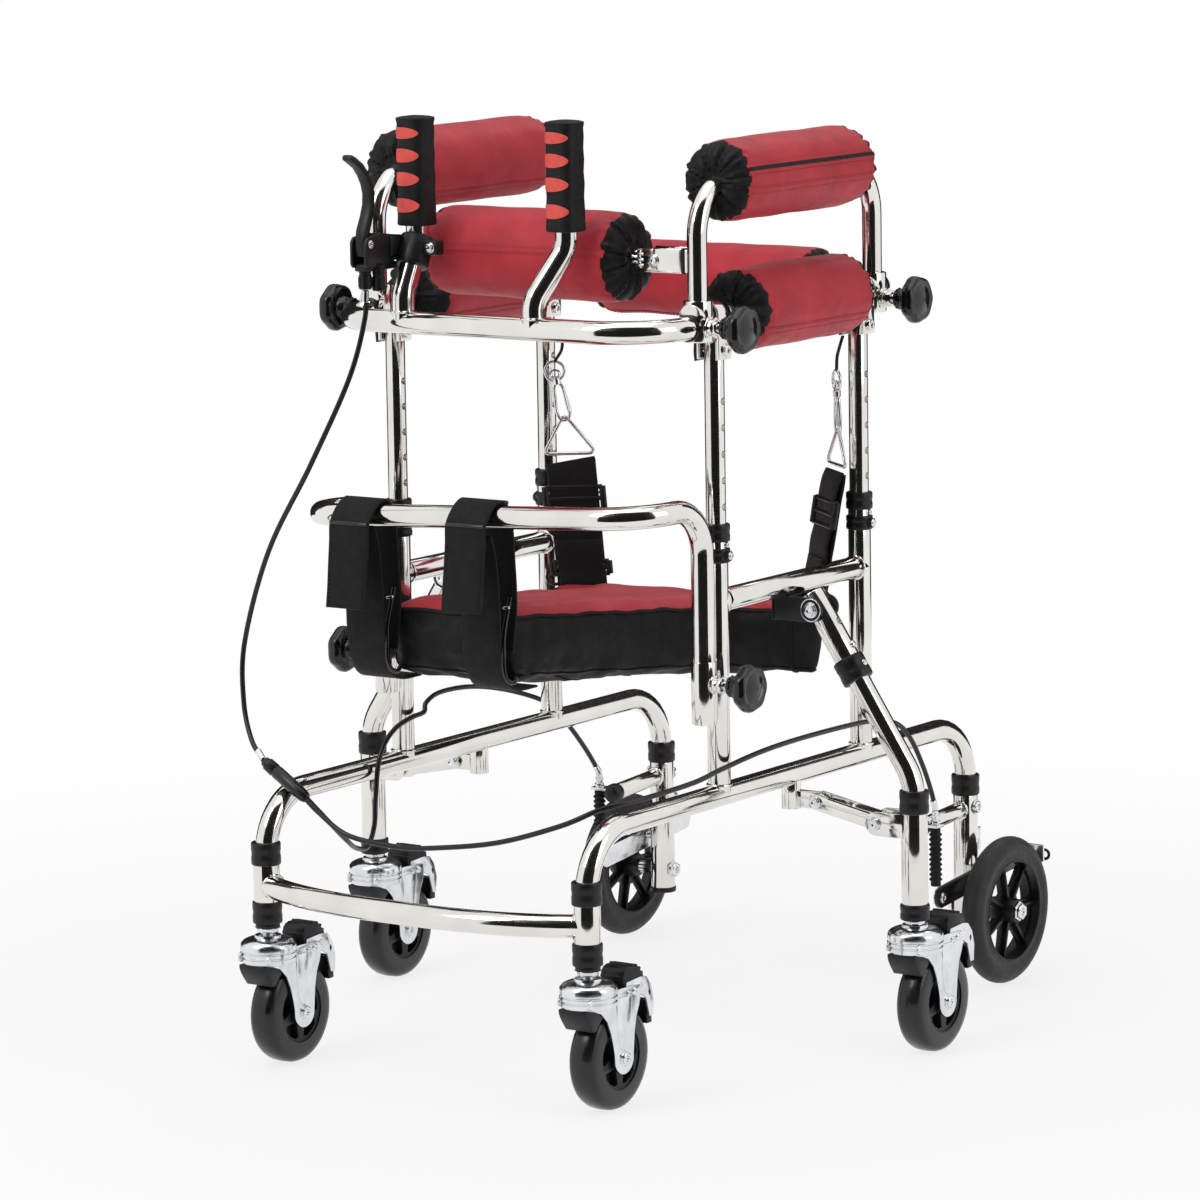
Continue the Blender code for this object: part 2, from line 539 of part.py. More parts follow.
def upper_frame():
    """Inner posts with their holes, saddles, side tubes, the rear tube and the four arch clamps."""
    rear = [(-FRAME_X, REAR_CLAMP_Y, TOP_Z), (FRAME_X, REAR_CLAMP_Y, TOP_Z)]
    pieces = [rod(rear[0], rear[1], INNER)]
    cuts = []
    for s in SIDES.values():
        x = s * FRAME_X
        pieces.append(rod((x, FRONT_CLAMP_Y, TOP_Z), (x, REAR_CLAMP_Y, TOP_Z), INNER))
        for y in POST_YS:
            pieces.append(rod((x, y, 0.410), (x, y, 0.705), INNER))
            pieces.append(block((x - 0.0125, y - 0.011, 0.680), (x + 0.0125, y + 0.011, 0.716)))
            pieces.append(rod((x - 0.0165, y, 0.688), (x + 0.0165, y, 0.688), 0.004, 6))
            for index in range(HOLES):
                z = FIRST_HOLE_Z + HOLE_PITCH * index
                cuts.append(rod((x + 0.004, y, z), (x + 0.02, y, z), 0.0034, 4))
        for y in (FRONT_CLAMP_Y, REAR_CLAMP_Y):
            pieces.append(block((x - 0.0145, y - 0.0135, 0.698), (x + 0.0145, y + 0.0135, 0.737)))
            pieces.append(rod((x, y, BOW_Z), (x + s * 0.022, y, BOW_Z), 0.009))
            cuts.append(bore((x, y, 0.690), (x, y, 0.745), INNER + GAP))
            cuts.append(bore((x, y, BOW_Z), (x + s * 0.030, y, BOW_Z), KNOB_BORE, 8))
    finish("upper_frame", "polished_steel", shaped(pieces, cuts), (0, 0, TOP_Z))


def handle_path(side):
    """Centre line of a handle: up from the bow, back in an S, then straight up through its grip."""
    foot, head = HANDLES[side]
    return bend([(foot, BOW_FRONT_Y, BOW_Z), (foot, BOW_FRONT_Y, 0.738), (head, GRIP_Y, 0.786),
                 (head, GRIP_Y, 0.9035)], 0.030, 3)


def handle_bow():
    """Bow in front of the chest bar with its two upright handles."""
    end = FRONT_CLAMP_Y - 0.0138
    corners = [(-FRAME_X, end, BOW_Z), (-FRAME_X, BOW_FRONT_Y, BOW_Z), (FRAME_X, BOW_FRONT_Y, BOW_Z),
               (FRAME_X, end, BOW_Z)]
    pieces = [pipe(bend(corners, 0.066, 5), TUBE)]
    for side in SIDES:
        pieces.append(pipe(handle_path(side), TUBE))
    finish("handle_bow", "polished_steel", shaped(pieces), (0, 0, TOP_Z))


def grip(side):
    """Rubber grip over a handle, with finger swells."""
    x = HANDLES[side][1]
    low, high = GRIP_Z
    length = high - low
    profile = [(0.0, 0.0155)]
    for index in range(9):
        profile.append((0.008 + (length - 0.016) * index / 8, 0.0165 if index % 2 == 0 else 0.0153))
    profile.append((length, 0.0155))
    solid = turned(profile, (x, GRIP_Y, low), (0, 0, 1), 8)
    hole = bore((x, GRIP_Y, low - 0.01), (x, GRIP_Y, high - 0.0020), TUBE + GAP)
    finish("grip_" + side, "black_rubber", shaped([solid], [hole]), (0, 0, TOP_Z))


def brake_bracket():
    """Clamp of the brake lever round the left handle, with its bolt, pivot ears and cable barrel."""
    foot, head = HANDLES["left"]
    low = Vector((foot, -0.2293, 0.765))
    high = Vector((head, -0.2168, 0.7905))
    pieces = [rod(low, high, 0.0155, 10)]
    pieces.append(block((head + 0.008, -0.2300, 0.775), (head + 0.031, -0.2160, 0.789)))
    pieces.append(rod((head + 0.023, -0.2335, 0.782), (head + 0.023, -0.2115, 0.782), 0.004, 8))
    arm = [(-0.228, 0.774), (-0.262, 0.766), (-0.284, 0.766), (-0.284, 0.793), (-0.262, 0.797),
           (-0.228, 0.794)]
    for low_x, high_x in ((-0.1215, -0.1186), (-0.1054, -0.1025)):
        pieces.append(plate(arm, side_plane, low_x, high_x))
    pieces.append(block((-0.1200, -0.2500, 0.7745), (-0.1000, -0.2280, 0.7935)))
    pieces.append(block((-0.1200, -0.2830, 0.7620), (-0.1040, -0.2350, 0.7690)))
    pieces.append(rod((-0.112, -0.276, 0.7445), (-0.112, -0.276, 0.7660), 0.006))
    pieces.append(rod((-0.1225, -0.279, 0.788), (-0.1015, -0.279, 0.788), 0.002, 6))
    cuts = [pipe(handle_path("left"), TUBE + 3 * GAP, 3)]
    finish("brake_bracket", "black_plastic", shaped(pieces, cuts), (0, 0, TOP_Z))


def brake_lever():
    """Brake lever blade in front of the left grip."""
    path = [(-0.281, 0.778), (-0.2795, 0.792), (-0.276, 0.806), (-0.271, 0.820), (-0.270, 0.834),
            (-0.275, 0.848), (-0.285, 0.861), (-0.2945, 0.871)]
    blade = band([(-0.112, y, z) for y, z in path], (1, 0, 0), 0.0120, 0.0075)
    hole = bore((-0.13, -0.279, 0.788), (-0.09, -0.279, 0.788), 0.0024, 8)
    finish("brake_lever", "black_plastic", shaped([blade], [hole]), (-0.112, -0.279, 0.788))


def arch_path(s):
    """Centre line of an arch, from its front clamp over to its rear clamp."""
    x = s * FRAME_X
    return bend([(x, FRONT_CLAMP_Y, 0.7003), (x, FRONT_CLAMP_Y, UPPER_PAD_Z), (x, REAR_CLAMP_Y, UPPER_PAD_Z),
                 (x, REAR_CLAMP_Y, 0.7003)], 0.050, 5)


def arch(side, s):
    """Arch that carries an upper pad; the right one also carries the chest bar's bracket."""
    pieces = [pipe(arch_path(s), INNER)]
    if side == "right":
        y, z = CHEST
        pieces.append(block((0.1675, y - 0.0115, z - 0.0115), (0.181, y + 0.0115, z + 0.0115)))
        for low, high in ((-0.0115, -0.0090), (0.0090, 0.0115)):
            pieces.append(block((0.128, y + low, z - 0.0115), (0.1690, y + high, z + 0.0115)))
        pieces.append(rod((CHEST_PIVOT_X, y - 0.0140, z), (CHEST_PIVOT_X, y + 0.0140, z), 0.003, 8))
    finish("arch_" + side, "polished_steel", shaped(pieces), (s * FRAME_X, 0, TOP_Z))


def chest_bar():
    """Bar through the chest pad, pivoting in the bracket at its right end."""
    y, z = CHEST
    bar = rod((-0.1165, y, z), (0.124, y, z), INNER)
    end = block((0.120, y - 0.0085, z - 0.0085), (0.149, y + 0.0085, z + 0.0085))
    hole = bore((CHEST_PIVOT_X, y - 0.02, z), (CHEST_PIVOT_X, y + 0.02, z), 0.0034, 8)
    finish("chest_bar", "polished_steel", shaped([bar, end], [hole]), (CHEST_PIVOT_X, y, z))


def pad(name, start, end, radius, cut, pivot):
    """Padded roller: a full round body whose ends are drawn in round the tube."""
    start, end = Vector(start), Vector(end)
    length = (end - start).length
    near = [(0.0, 0.50 * radius), (0.007, 0.82 * radius), (0.022, 0.97 * radius)]
    profile = near + [(length / 2, radius)] + [(length - along, r) for along, r in reversed(near)]
    solid = turned(profile, start, end - start, 16)
    finish(name, "red_fabric", shaped([solid], [cut]), pivot)


def pads():
    """The six padded rollers on the arches, the side tubes, the rear tube and the chest bar."""
    for side, s in SIDES.items():
        x = s * FRAME_X
        pad("pad_upper_" + side, (x, -0.136, UPPER_PAD_Z), (x, 0.112, UPPER_PAD_Z), SIDE_PAD_R,
            pipe(arch_path(s), INNER + GAP), (x, 0, TOP_Z))
        pad("pad_lower_" + side, (x, -0.107, TOP_Z), (x, 0.108, TOP_Z), SIDE_PAD_R,
            bore((x, -0.15, TOP_Z), (x, 0.15, TOP_Z), INNER + GAP), (0, 0, TOP_Z))
    pad("pad_back", (-0.138, REAR_CLAMP_Y, TOP_Z), (0.138, REAR_CLAMP_Y, TOP_Z), BACK_PAD_R,
        bore((-0.19, REAR_CLAMP_Y, TOP_Z), (0.19, REAR_CLAMP_Y, TOP_Z), INNER + GAP), (0, 0, TOP_Z))
    y, z = CHEST
    pad("pad_chest", (-0.120, y, z), (0.117, y, z), CHEST_PAD_R,
        bore((-0.1175, y, z), (0.150, y, z), INNER + GAP), (CHEST_PIVOT_X, y, z))


def knob(name, s, start_x, y, z, reach):
    """Clamp knob with its screw: a domed head with seven lobes, turning on the X axis."""
    x = s * start_x
    rings = ((0.0, 0.88), (0.003, 1.0), (0.011, 1.0), (0.017, 0.55))
    sides = 14
    shape = bmesh.new()
    loops = []
    for depth, factor in rings:
        loop = []
        for step in range(sides):
            angle = 2 * math.pi * step / sides
            radius = 0.0225 * factor * (1 + 0.045 * math.cos(7 * angle))
            across = (x + s * (reach + depth), y + radius * math.cos(angle), z + radius * math.sin(angle))
            loop.append(shape.verts.new(across))
        loops.append(loop)
    for one, other in zip(loops, loops[1:]):
        for k in range(sides):
            shape.faces.new((one[k], one[(k + 1) % sides], other[(k + 1) % sides], other[k]))
    shape.faces.new(loops[0])
    shape.faces.new(loops[-1])
    head = from_bmesh(shape)
    hub = rod((x + s * (reach - 0.014), y, z), (x + s * (reach + 0.004), y, z), 0.010)
    screw = rod((x + s * 0.0005, y, z), (x + s * (reach + 0.002), y, z), 0.004, 6)
    finish(name, "black_plastic", shaped([head, hub, screw]), (x, y, z))


def inset(outline, distance):
    """A closed outline of (x, y, limit) moved inwards by a distance, at most to each point's limit."""
    moved = []
    count = len(outline)
    for index, (x, y, limit) in enumerate(outline):
        before, after = outline[index - 1], outline[(index + 1) % count]
        tangent = (Vector(after[:2]) - Vector(before[:2])).normalized()
        reach = min(distance, limit)
        moved.append((x - tangent[1] * reach, y + tangent[0] * reach))
    return moved


def seat_outline():
    """Saddle outline with its nose hung to the left, as (x, y, most that the point may move inwards)."""
    corners = [((0.110, 0.121), 0.040), ((-0.110, 0.121), 0.040), ((-0.167, 0.108), 0.010),
               ((-0.163, 0.086), 0.010), ((-0.096, 0.050), 0.040), ((-0.140, -0.240), 0.020),
               ((0.016, -0.236), 0.020), ((0.078, 0.050), 0.040), ((0.163, 0.086), 0.010),
               ((0.167, 0.108), 0.010)]
    points = []
    count = len(corners)
    for index, (corner, radius) in enumerate(corners):
        before, after = corners[index - 1][0], corners[(index + 1) % count][0]
        turn = bend([(*before, 0), (*corner, 0), (*after, 0)], radius, 3)[1:-1]
        points += [(place.x, place.y, 0.8 * radius) for place in turn]
    return points


def seat():
    """Sling seat: red top with a crown, black sides drawn in between piped edges."""
    outline = seat_outline()
    levels = ((-0.064, 0.008), (-0.057, 0.000), (-0.034, 0.0035), (-0.010, 0.000), (-0.003, 0.002),
              (0.001, 0.008), (0.005, 0.022))
    shape = bmesh.new()
    rings = []
    for height, distance in levels:
        ring = []
        for x, y in inset(outline, distance):
            ring.append(shape.verts.new((x, y, SEAT_Z - SEAT_SLOPE * y + height)))
        rings.append(ring)
    count = len(outline)
    for one, other in zip(rings, rings[1:]):
        for k in range(count):
            shape.faces.new((one[k], one[(k + 1) % count], other[(k + 1) % count], other[k]))
    shape.faces.new(rings[0])
    shape.faces.new(rings[-1])
    finish("seat_cushion", "red_fabric", from_bmesh(shape))


def front_strap(name, x):
    """Webbing strap from under the seat's nose, up and over the middle bow and down behind it."""
    left, right = MID_BOW_Z
    top = left + (right - left) * (x - MID_BOW_LEFT) / (FRAME_X - MID_BOW_LEFT)
    path = [(-0.214, 0.3645), (-0.2450, 0.3675), (-0.2480, 0.374), (-0.2480, 0.432), (-0.2715, 0.470)]
    for across, rise in ((-0.0225, -0.010), (-0.0215, 0.008), (-0.0150, 0.0150), (0.0130, 0.0150),
                         (0.0195, 0.008), (0.0205, -0.010), (0.0190, -0.045)):
        path.append((MID_BOW_FRONT + across, top + rise))
    finish(name, "webbing", band([(x, y, z) for y, z in path], (1, 0, 0), FRONT_STRAP, 0.0030))


def rear_strap(side, s):
    """Webbing strap from the seat's rear corner up to its wire triangle, with slider and buckle."""
    across = Vector((math.cos(STRAP_TURN), -s * math.sin(STRAP_TURN), 0))
    foot, head = (Vector(place) for place in STRAPS[side])
    pieces = []
    for low, high, width, thickness in ((0.0, 1.0, 0.050, 0.0035), (0.03, 0.20, 0.058, 0.0075),
                                        (0.58, 0.78, 0.056, 0.0070)):
        pieces.append(band([foot.lerp(head, low), foot.lerp(head, high)], across, width, thickness))
    finish("seat_strap_rear_" + side, "webbing", shaped(pieces))


def strap_hook(side, s):
    """Wire triangle, snap hook, ring and cord that hang a rear strap from the upper frame."""
    across = Vector((math.cos(STRAP_TURN), -s * math.sin(STRAP_TURN), 0)) * 0.027
    base, apex, ring = (Vector(place) for place in HOOKS[side])
    facing = Vector((-s * 0.6, -0.8, 0.0))
    foot = apex - Vector((0, 0, 0.004))
    triangle = [base - across, base + across]
    pieces = [rod(triangle[0], triangle[1], 0.0020, 6)]
    for corner in triangle:
        pieces.append(rod(corner - (foot - corner) * 0.04, foot, 0.0019, 5))
    hook = [(-0.0022, 0.0), (0.0022, 0.0), (0.0065, 0.010), (0.0065, 0.041), (0.0022, 0.050),
            (-0.0022, 0.050), (-0.0065, 0.041), (-0.0065, 0.010)]
    rise = (ring - apex).normalized()
    width = rise.cross(facing).normalized()

    def on_hook(a, b, depth):
        return apex - rise * 0.006 + width * a + rise * b + facing * depth

    slot = [(a * 0.5, 0.010 + (b - 0.010) * 0.85) for a, b in hook]
    pieces.append(shaped([plate(hook, on_hook, -0.0018, 0.0018)], [plate(slot, on_hook, -0.005, 0.005)]))
    washer = rod(ring - facing * 0.0016, ring + facing * 0.0016, 0.0115)
    pieces.append(shaped([washer], [rod(ring - facing * 0.004, ring + facing * 0.004, 0.0080)]))
    pieces.append(pipe([ring + Vector((0, 0, 0.0095))] + CORDS[side], 0.0018, 0))
    finish("strap_hook_" + side, "zinc", shaped(pieces), (0, 0, TOP_Z))


MAIN_ROUTE = [(-0.112, -0.276, 0.7441), (-0.113, -0.277, 0.716), (-0.125, -0.288, 0.660),
              (-0.164, -0.300, 0.577), (-0.215, -0.302, 0.492), (-0.247, -0.302, 0.402),
              (-0.244, -0.310, 0.345), (-0.226, -0.322, 0.310), (-0.2061, -0.330, 0.2938)]
RIGHT_ROUTE = [(-0.158, -0.331, 0.263), (-0.140, -0.331, 0.249), (-0.105, -0.331, 0.230),
               (-0.045, -0.331, 0.225), (0.002, -0.331, 0.229), (0.071, -0.331, 0.241),
               (0.140, -0.328, 0.263), (0.174, -0.312, 0.279), (0.196, -0.270, 0.285),
               (0.204, -0.203, 0.289), (0.204, -0.156, 0.294), (0.204, -0.088, 0.300),
               (0.204, -0.018, 0.302), (0.204, 0.073, 0.301), (0.204, 0.120, 0.298),
               (0.204, 0.160, 0.289), (0.204, 0.186, 0.270), (0.204, 0.2095, 0.238),
               (0.204, 0.2255, 0.209), (BRAKE_X, ADJUSTER_Y, 0.1907)]
LEFT_ROUTE = [(-0.158, -0.329, 0.263), (-0.147, -0.318, 0.245), (-0.148, -0.280, 0.214),
              (-0.163, -0.243, 0.197), (-0.1695, -0.216, 0.193), (-0.1705, -0.203, 0.212),
              (-0.1705, -0.200, 0.240), (-0.1705, -0.192, 0.278), (-0.1705, -0.170, 0.300),
              (-0.1690, -0.142, 0.309), (-0.1700, -0.119, 0.311), (-0.190, -0.088, 0.314),
              (-0.204, -0.045, 0.317), (-0.204, 0.006, 0.315), (-0.204, 0.066, 0.303),
              (-0.204, 0.129, 0.283), (-0.204, 0.159, 0.265), (-0.204, 0.185, 0.242),
              (-0.204, 0.2105, 0.216), (-BRAKE_X, ADJUSTER_Y, 0.1907)]


def cables():
    """Brake cable from the lever to the splitter, and the two cables from there to the rear brakes."""
    finish("brake_cable_main", "black_rubber", pipe(smooth(MAIN_ROUTE, 0.0220), CABLE))
    splitter = rod((-0.205, -0.330, 0.293), (-0.155, -0.330, 0.261), 0.0065)
    right = pipe(smooth(RIGHT_ROUTE, 0.0300), CABLE)
    left = pipe(smooth(LEFT_ROUTE, 0.0270), CABLE)
    finish("brake_cable_rear", "black_rubber", shaped([splitter, right, left]))


def build():
    """Every sub-part of the walker."""
    front_bow()
    mid_bow()
    upper_frame()
    handle_bow()
    for side, s in SIDES.items():
        side_frame(side, s)
        rear_leg(side, s)
        rear_wheel(side, s)
        brake_arm(side, s)
        brake_boot(side, s)
        outrigger(side, s)
        grip(side)
        arch(side, s)
        rear_strap(side, s)
        strap_hook(side, s)
        caster("front_" + side, s * FRAME_X, FRONT_LEG_Y)
        caster("outer_" + side, s * OUTER_CASTER_X, OUTRIGGER_Y)
        knob("knob_middle_" + side, s, FRAME_X + TUBE, MID_BOW_Y, MID_KNOB_Z, 0.0325)
        knob("knob_front_" + side, s, FRAME_X + INNER, FRONT_CLAMP_Y, BOW_Z, 0.033)
        knob("knob_rear_" + side, s, FRAME_X + INNER, REAR_CLAMP_Y, BOW_Z, 0.033)
    brake_bracket()
    brake_lever()
    chest_bar()
    pads()
    seat()
    front_strap("seat_strap_front_outer", -0.1336)
    front_strap("seat_strap_front_inner", 0.003)
    cables()


for old in list(bpy.data.objects):
    bpy.data.objects.remove(old, do_unlink=True)
build()
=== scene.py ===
"""Looks of the pediatric walker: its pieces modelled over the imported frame, its finishes and its studio.

Metres, +Z up. +X is to the walker's right and +Y to its back, so the hand grips are at -Y.
"""
import math

import bpy
from bpy.props import FloatProperty, FloatVectorProperty, PointerProperty
from mathutils import Matrix, Vector, noise


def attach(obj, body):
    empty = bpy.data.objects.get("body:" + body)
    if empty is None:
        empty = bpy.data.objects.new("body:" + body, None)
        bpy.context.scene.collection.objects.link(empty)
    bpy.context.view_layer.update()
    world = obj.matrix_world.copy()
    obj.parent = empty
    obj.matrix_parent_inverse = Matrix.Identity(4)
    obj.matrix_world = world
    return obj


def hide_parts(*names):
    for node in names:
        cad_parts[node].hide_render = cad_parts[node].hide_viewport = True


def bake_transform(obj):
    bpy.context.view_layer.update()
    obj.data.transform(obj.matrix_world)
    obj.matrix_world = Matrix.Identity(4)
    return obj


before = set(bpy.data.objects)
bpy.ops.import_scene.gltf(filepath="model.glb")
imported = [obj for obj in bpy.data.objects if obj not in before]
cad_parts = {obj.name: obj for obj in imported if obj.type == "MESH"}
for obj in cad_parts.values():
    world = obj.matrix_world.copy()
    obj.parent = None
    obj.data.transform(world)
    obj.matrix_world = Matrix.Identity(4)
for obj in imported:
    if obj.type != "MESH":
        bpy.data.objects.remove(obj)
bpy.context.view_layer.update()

bl_info = {
    "name": "Pediatric walker looks",
    "version": (1, 0, 0),
    "blender": (4, 5, 0),
    "location": "View3D > Sidebar > Walker",
    "description": "Models and finishes the walker's pieces over its packed frame",
    "category": "Object",
}

# Where the frame puts each piece
FRAME_X = 0.186
FRONT_LEG_Y = -0.355
REAR_LEG_Y = 0.3215
POST_YS = (-0.132, 0.1225)
OUTRIGGER_Y = -0.002
MID_BOW_Y = -0.156
MID_BOW_LEFT = -0.222
MID_BOW_FRONT = -0.257
MID_BOW_Z = (0.5215, 0.5425)
MID_BOW_FOOT = 0.34
MID_KNOB_Z = 0.3745
FRONT_CLAMP_Y = -0.1585
REAR_CLAMP_Y = 0.15
SIDE_Z = 0.264
RAIL_Z = 0.45
TOP_Z = 0.722
BOW_Z = 0.712
BOW_FRONT_Y = -0.2445
GRIP_Y = -0.2175
GRIP_Z = (0.802, 0.906)
HANDLES = {"left": (-0.0915, -0.093), "right": (0.0595, 0.079)}
UPPER_PAD_Z = 0.845
CHEST = (-0.152, 0.773)
CHEST_PIVOT_X = 0.141
CASTER_TRAIL = 0.0317
OUTER_CASTER_X = 0.3225
REAR_WHEEL_X = 0.232
REAR_WHEEL_Z = 0.075
OUT_PIVOT = (0.218, 0.428)
OUT_LEAN = math.radians(33.3)
BRACE_INNER = (0.216, 0.24)
BRACE_OUTER = (0.2865, 0.226)
BRAKE_X = 0.2043
BRAKE_PIVOT_Z = 0.11
ADJUSTER_Y = 0.232
SEAT_Z = 0.4145
SEAT_SLOPE = 0.0865
STRAP_TURN = math.radians(38)
FRONT_STRAPS = {"seat_strap_front_outer": -0.1336, "seat_strap_front_inner": 0.003}
SIDES = {"left": -1, "right": 1}

# Each rear strap's foot and head, then the foot, apex and ring of its hook, then the cord above the ring
STRAPS = {"left": ((-0.134, 0.106, 0.415), (-0.1505, 0.112, 0.539)),
          "right": ((0.147, 0.106, 0.415), (0.167, 0.112, 0.547))}
HOOKS = {"left": ((-0.1505, 0.112, 0.5425), (-0.155, 0.1085, 0.5825), (-0.164, 0.106, 0.626)),
         "right": ((0.167, 0.112, 0.5505), (0.171, 0.1085, 0.5875), (0.1715, 0.106, 0.634))}
CORDS = {"left": [(-0.155, 0.107, 0.65), (-0.16, 0.111, 0.667), (-0.1725, 0.1165, 0.6765)],
         "right": [(0.1705, 0.109, 0.657), (0.1715, 0.113, 0.668), (0.1725, 0.1165, 0.6765)]}


def srgb(text):
    """The linear colour of an sRGB hex value."""
    parts = [int(text[i:i + 2], 16) / 255 for i in (1, 3, 5)]
    return tuple(c / 12.92 if c <= 0.04045 else ((c + 0.055) / 1.055) ** 2.4 for c in parts)


def length(title, text, default):
    """A length that a user may change."""
    return FloatProperty(name=title, description=text, default=default, min=0.0001, unit="LENGTH")


def colour(title, text, default):
    """A colour that a user may change."""
    return FloatVectorProperty(name=title, description=text, default=srgb(default), subtype="COLOR", size=3,
                               min=0.0, max=1.0)


class WalkerSizes(bpy.types.PropertyGroup):
    """Radii and thicknesses of the walker's tubes, wheels, pads and straps."""
    tube: length("Frame tube", "Radius of the frame's outer tubes", 0.011)
    inner: length("Inner tube", "Radius of the inner posts, arches and the chest bar", 0.0095)
    sleeve: length("Leg sleeve", "Radius of the sleeves of the legs", 0.0127)
    collar: length("Leg collar", "Radius of the black collars on the legs", 0.0143)
    post_collar: length("Post collar", "Radius of the black collars on the posts", 0.0129)
    caster: length("Caster wheel", "Radius of the caster wheels", 0.05)
    rear_wheel: length("Rear wheel", "Radius of the rear wheels", 0.075)
    cable: length("Brake cable", "Radius of the brake cables' housing", 0.0025)
    side_pad: length("Side pad", "Radius of the padded rollers at the sides", 0.044)
    back_pad: length("Back pad", "Radius of the padded roller at the back", 0.042)
    chest_pad: length("Chest pad", "Radius of the padded roller in front of the chest", 0.048)
    socket: length("Socket", "Radius of the middle bow's sockets", 0.0121)
    front_strap: length("Front strap", "Width of the seat's front straps", 0.046)
    rear_strap: length("Rear strap", "Width of the seat's rear straps", 0.05)
    webbing: length("Webbing", "Thickness of the webbing", 0.0024)


class WalkerColours(bpy.types.PropertyGroup):
    """Colours of the walker's finishes."""
    steel: colour("Polished steel", "Colour of the polished tubes", "#E6E3DF")
    zinc: colour("Zinc plating", "Colour of the caster forks, bolts and hooks", "#E2E4E7")
    cover: colour("Pad cover", "Colour of the pads and of the seat's top", "#BC3540")
    cloth: colour("Black cloth", "Colour of the pads' ends and of the seat's sides", "#131315")
    webbing: colour("Webbing", "Colour of the seat's straps", "#121214")
    nylon: colour("Moulded nylon", "Colour of collars, brackets and pedals", "#0E0E10")
    knob: colour("Clamp knob", "Colour of the glossy clamp knobs", "#0C0C0E")
    rubber: colour("Grip rubber", "Colour of the hand grips", "#111112")
    insert: colour("Grip insert", "Colour of the finger inserts on the hand grips", "#E4544B")
    tread: colour("Caster tread", "Colour of the caster wheels", "#0F0F10")
    tyre: colour("Rear tyre", "Colour of the rear wheels' tyres", "#2B2A2A")
    floor: colour("Floor", "Colour of the studio floor", "#F4F2F0")


# Operators on one piece

def clear():
    """Leaves edit mode and deselects everything."""
    if bpy.context.object and bpy.context.object.mode != "OBJECT":
        bpy.ops.object.mode_set(mode="OBJECT")
    bpy.ops.object.select_all(action="DESELECT")


def only(piece):
    """Selects this piece alone and makes it active."""
    clear()
    piece.select_set(True)
    bpy.context.view_layer.objects.active = piece


def settled(piece):
    """Puts a new primitive's place, turn and size into its mesh."""
    only(piece)
    bpy.ops.object.transform_apply(location=True, rotation=True, scale=True)
    return piece


def edited(piece, kind="VERT"):
    """Enters edit mode on this piece with all of it selected."""
    only(piece)
    bpy.ops.object.mode_set(mode="EDIT")
    bpy.ops.mesh.select_mode(type=kind)
    bpy.ops.mesh.select_all(action="SELECT")


def merged(piece):
    """Merges the piece's doubles and turns its faces outwards."""
    edited(piece)
    bpy.ops.mesh.remove_doubles(threshold=1e-6)
    bpy.ops.mesh.normals_make_consistent(inside=False)
    bpy.ops.object.mode_set(mode="OBJECT")
    return piece


def modified(piece, kind, **settings):
    """Adds a modifier with its settings and applies it."""
    only(piece)
    step = piece.modifiers.new(kind.title(), kind)
    for key, value in settings.items():
        setattr(step, key, value)
    bpy.ops.object.modifier_apply(modifier=step.name)
    return piece


def rounded(piece, width, segments=2, angle=40):
    """Bevels the piece's sharp edges."""
    return modified(piece, "BEVEL", width=width, segments=segments, limit_method="ANGLE",
                    angle_limit=math.radians(angle))


def joined(pieces):
    """Joins the pieces into the first."""
    only(pieces[0])
    for other in pieces[1:]:
        other.select_set(True)
    if len(pieces) > 1:
        bpy.ops.object.join()
    return pieces[0]


def deleted(*pieces):
    """Deletes these pieces."""
    clear()
    for piece in pieces:
        piece.select_set(True)
    bpy.ops.object.delete()


def cut(piece, cutter, operation="DIFFERENCE"):
    """Takes the cutter out of the piece, or keeps what both share, and deletes the cutter."""
    modified(piece, "BOOLEAN", object=cutter, operation=operation, solver="EXACT")
    deleted(cutter)
    return piece


def copied(piece, shift=(0, 0, 0)):
    """A copy of the piece with its own mesh, moved by the shift."""
    only(piece)
    bpy.ops.object.duplicate(linked=False)
    other = bpy.context.object
    if any(shift):
        edited(other)
        bpy.ops.transform.translate(value=shift)
        bpy.ops.object.mode_set(mode="OBJECT")
    return other


def mirrored(piece):
    """A copy of the piece on the walker's other side."""
    other = copied(piece)
    edited(other)
    bpy.ops.transform.resize(value=(-1, 1, 1), center_override=(0, 0, 0))
    bpy.ops.mesh.flip_normals()
    bpy.ops.object.mode_set(mode="OBJECT")
    return other


def reshaped(piece, rule):
    """Moves each point of the piece to where the rule puts it."""
    for vertex in piece.data.vertices:
        vertex.co = rule(vertex.co.copy())
    piece.data.update()
    return piece


# Shapes

def turn_to(direction):
    """The turn that points a primitive's Z axis in this direction."""
    return Vector(direction).to_track_quat("Z", "Y").to_euler()


def rod(start, end, radius, sides=32, edge=0.0006):
    """A round bar between two points, its rims bevelled."""
    start, end = Vector(start), Vector(end)
    clear()
    bpy.ops.mesh.primitive_cylinder_add(vertices=sides, radius=radius, depth=(end - start).length,
                                        location=(start + end) / 2, rotation=turn_to(end - start))
    piece = settled(bpy.context.object)
    return rounded(piece, edge) if edge else piece


def bar(low, high, edge=0.001):
    """A box between two corners, its edges bevelled."""
    low, high = Vector(low), Vector(high)
    clear()
    bpy.ops.mesh.primitive_cube_add(size=1, location=(low + high) / 2, scale=[abs(v) for v in high - low])
    return rounded(settled(bpy.context.object), edge)


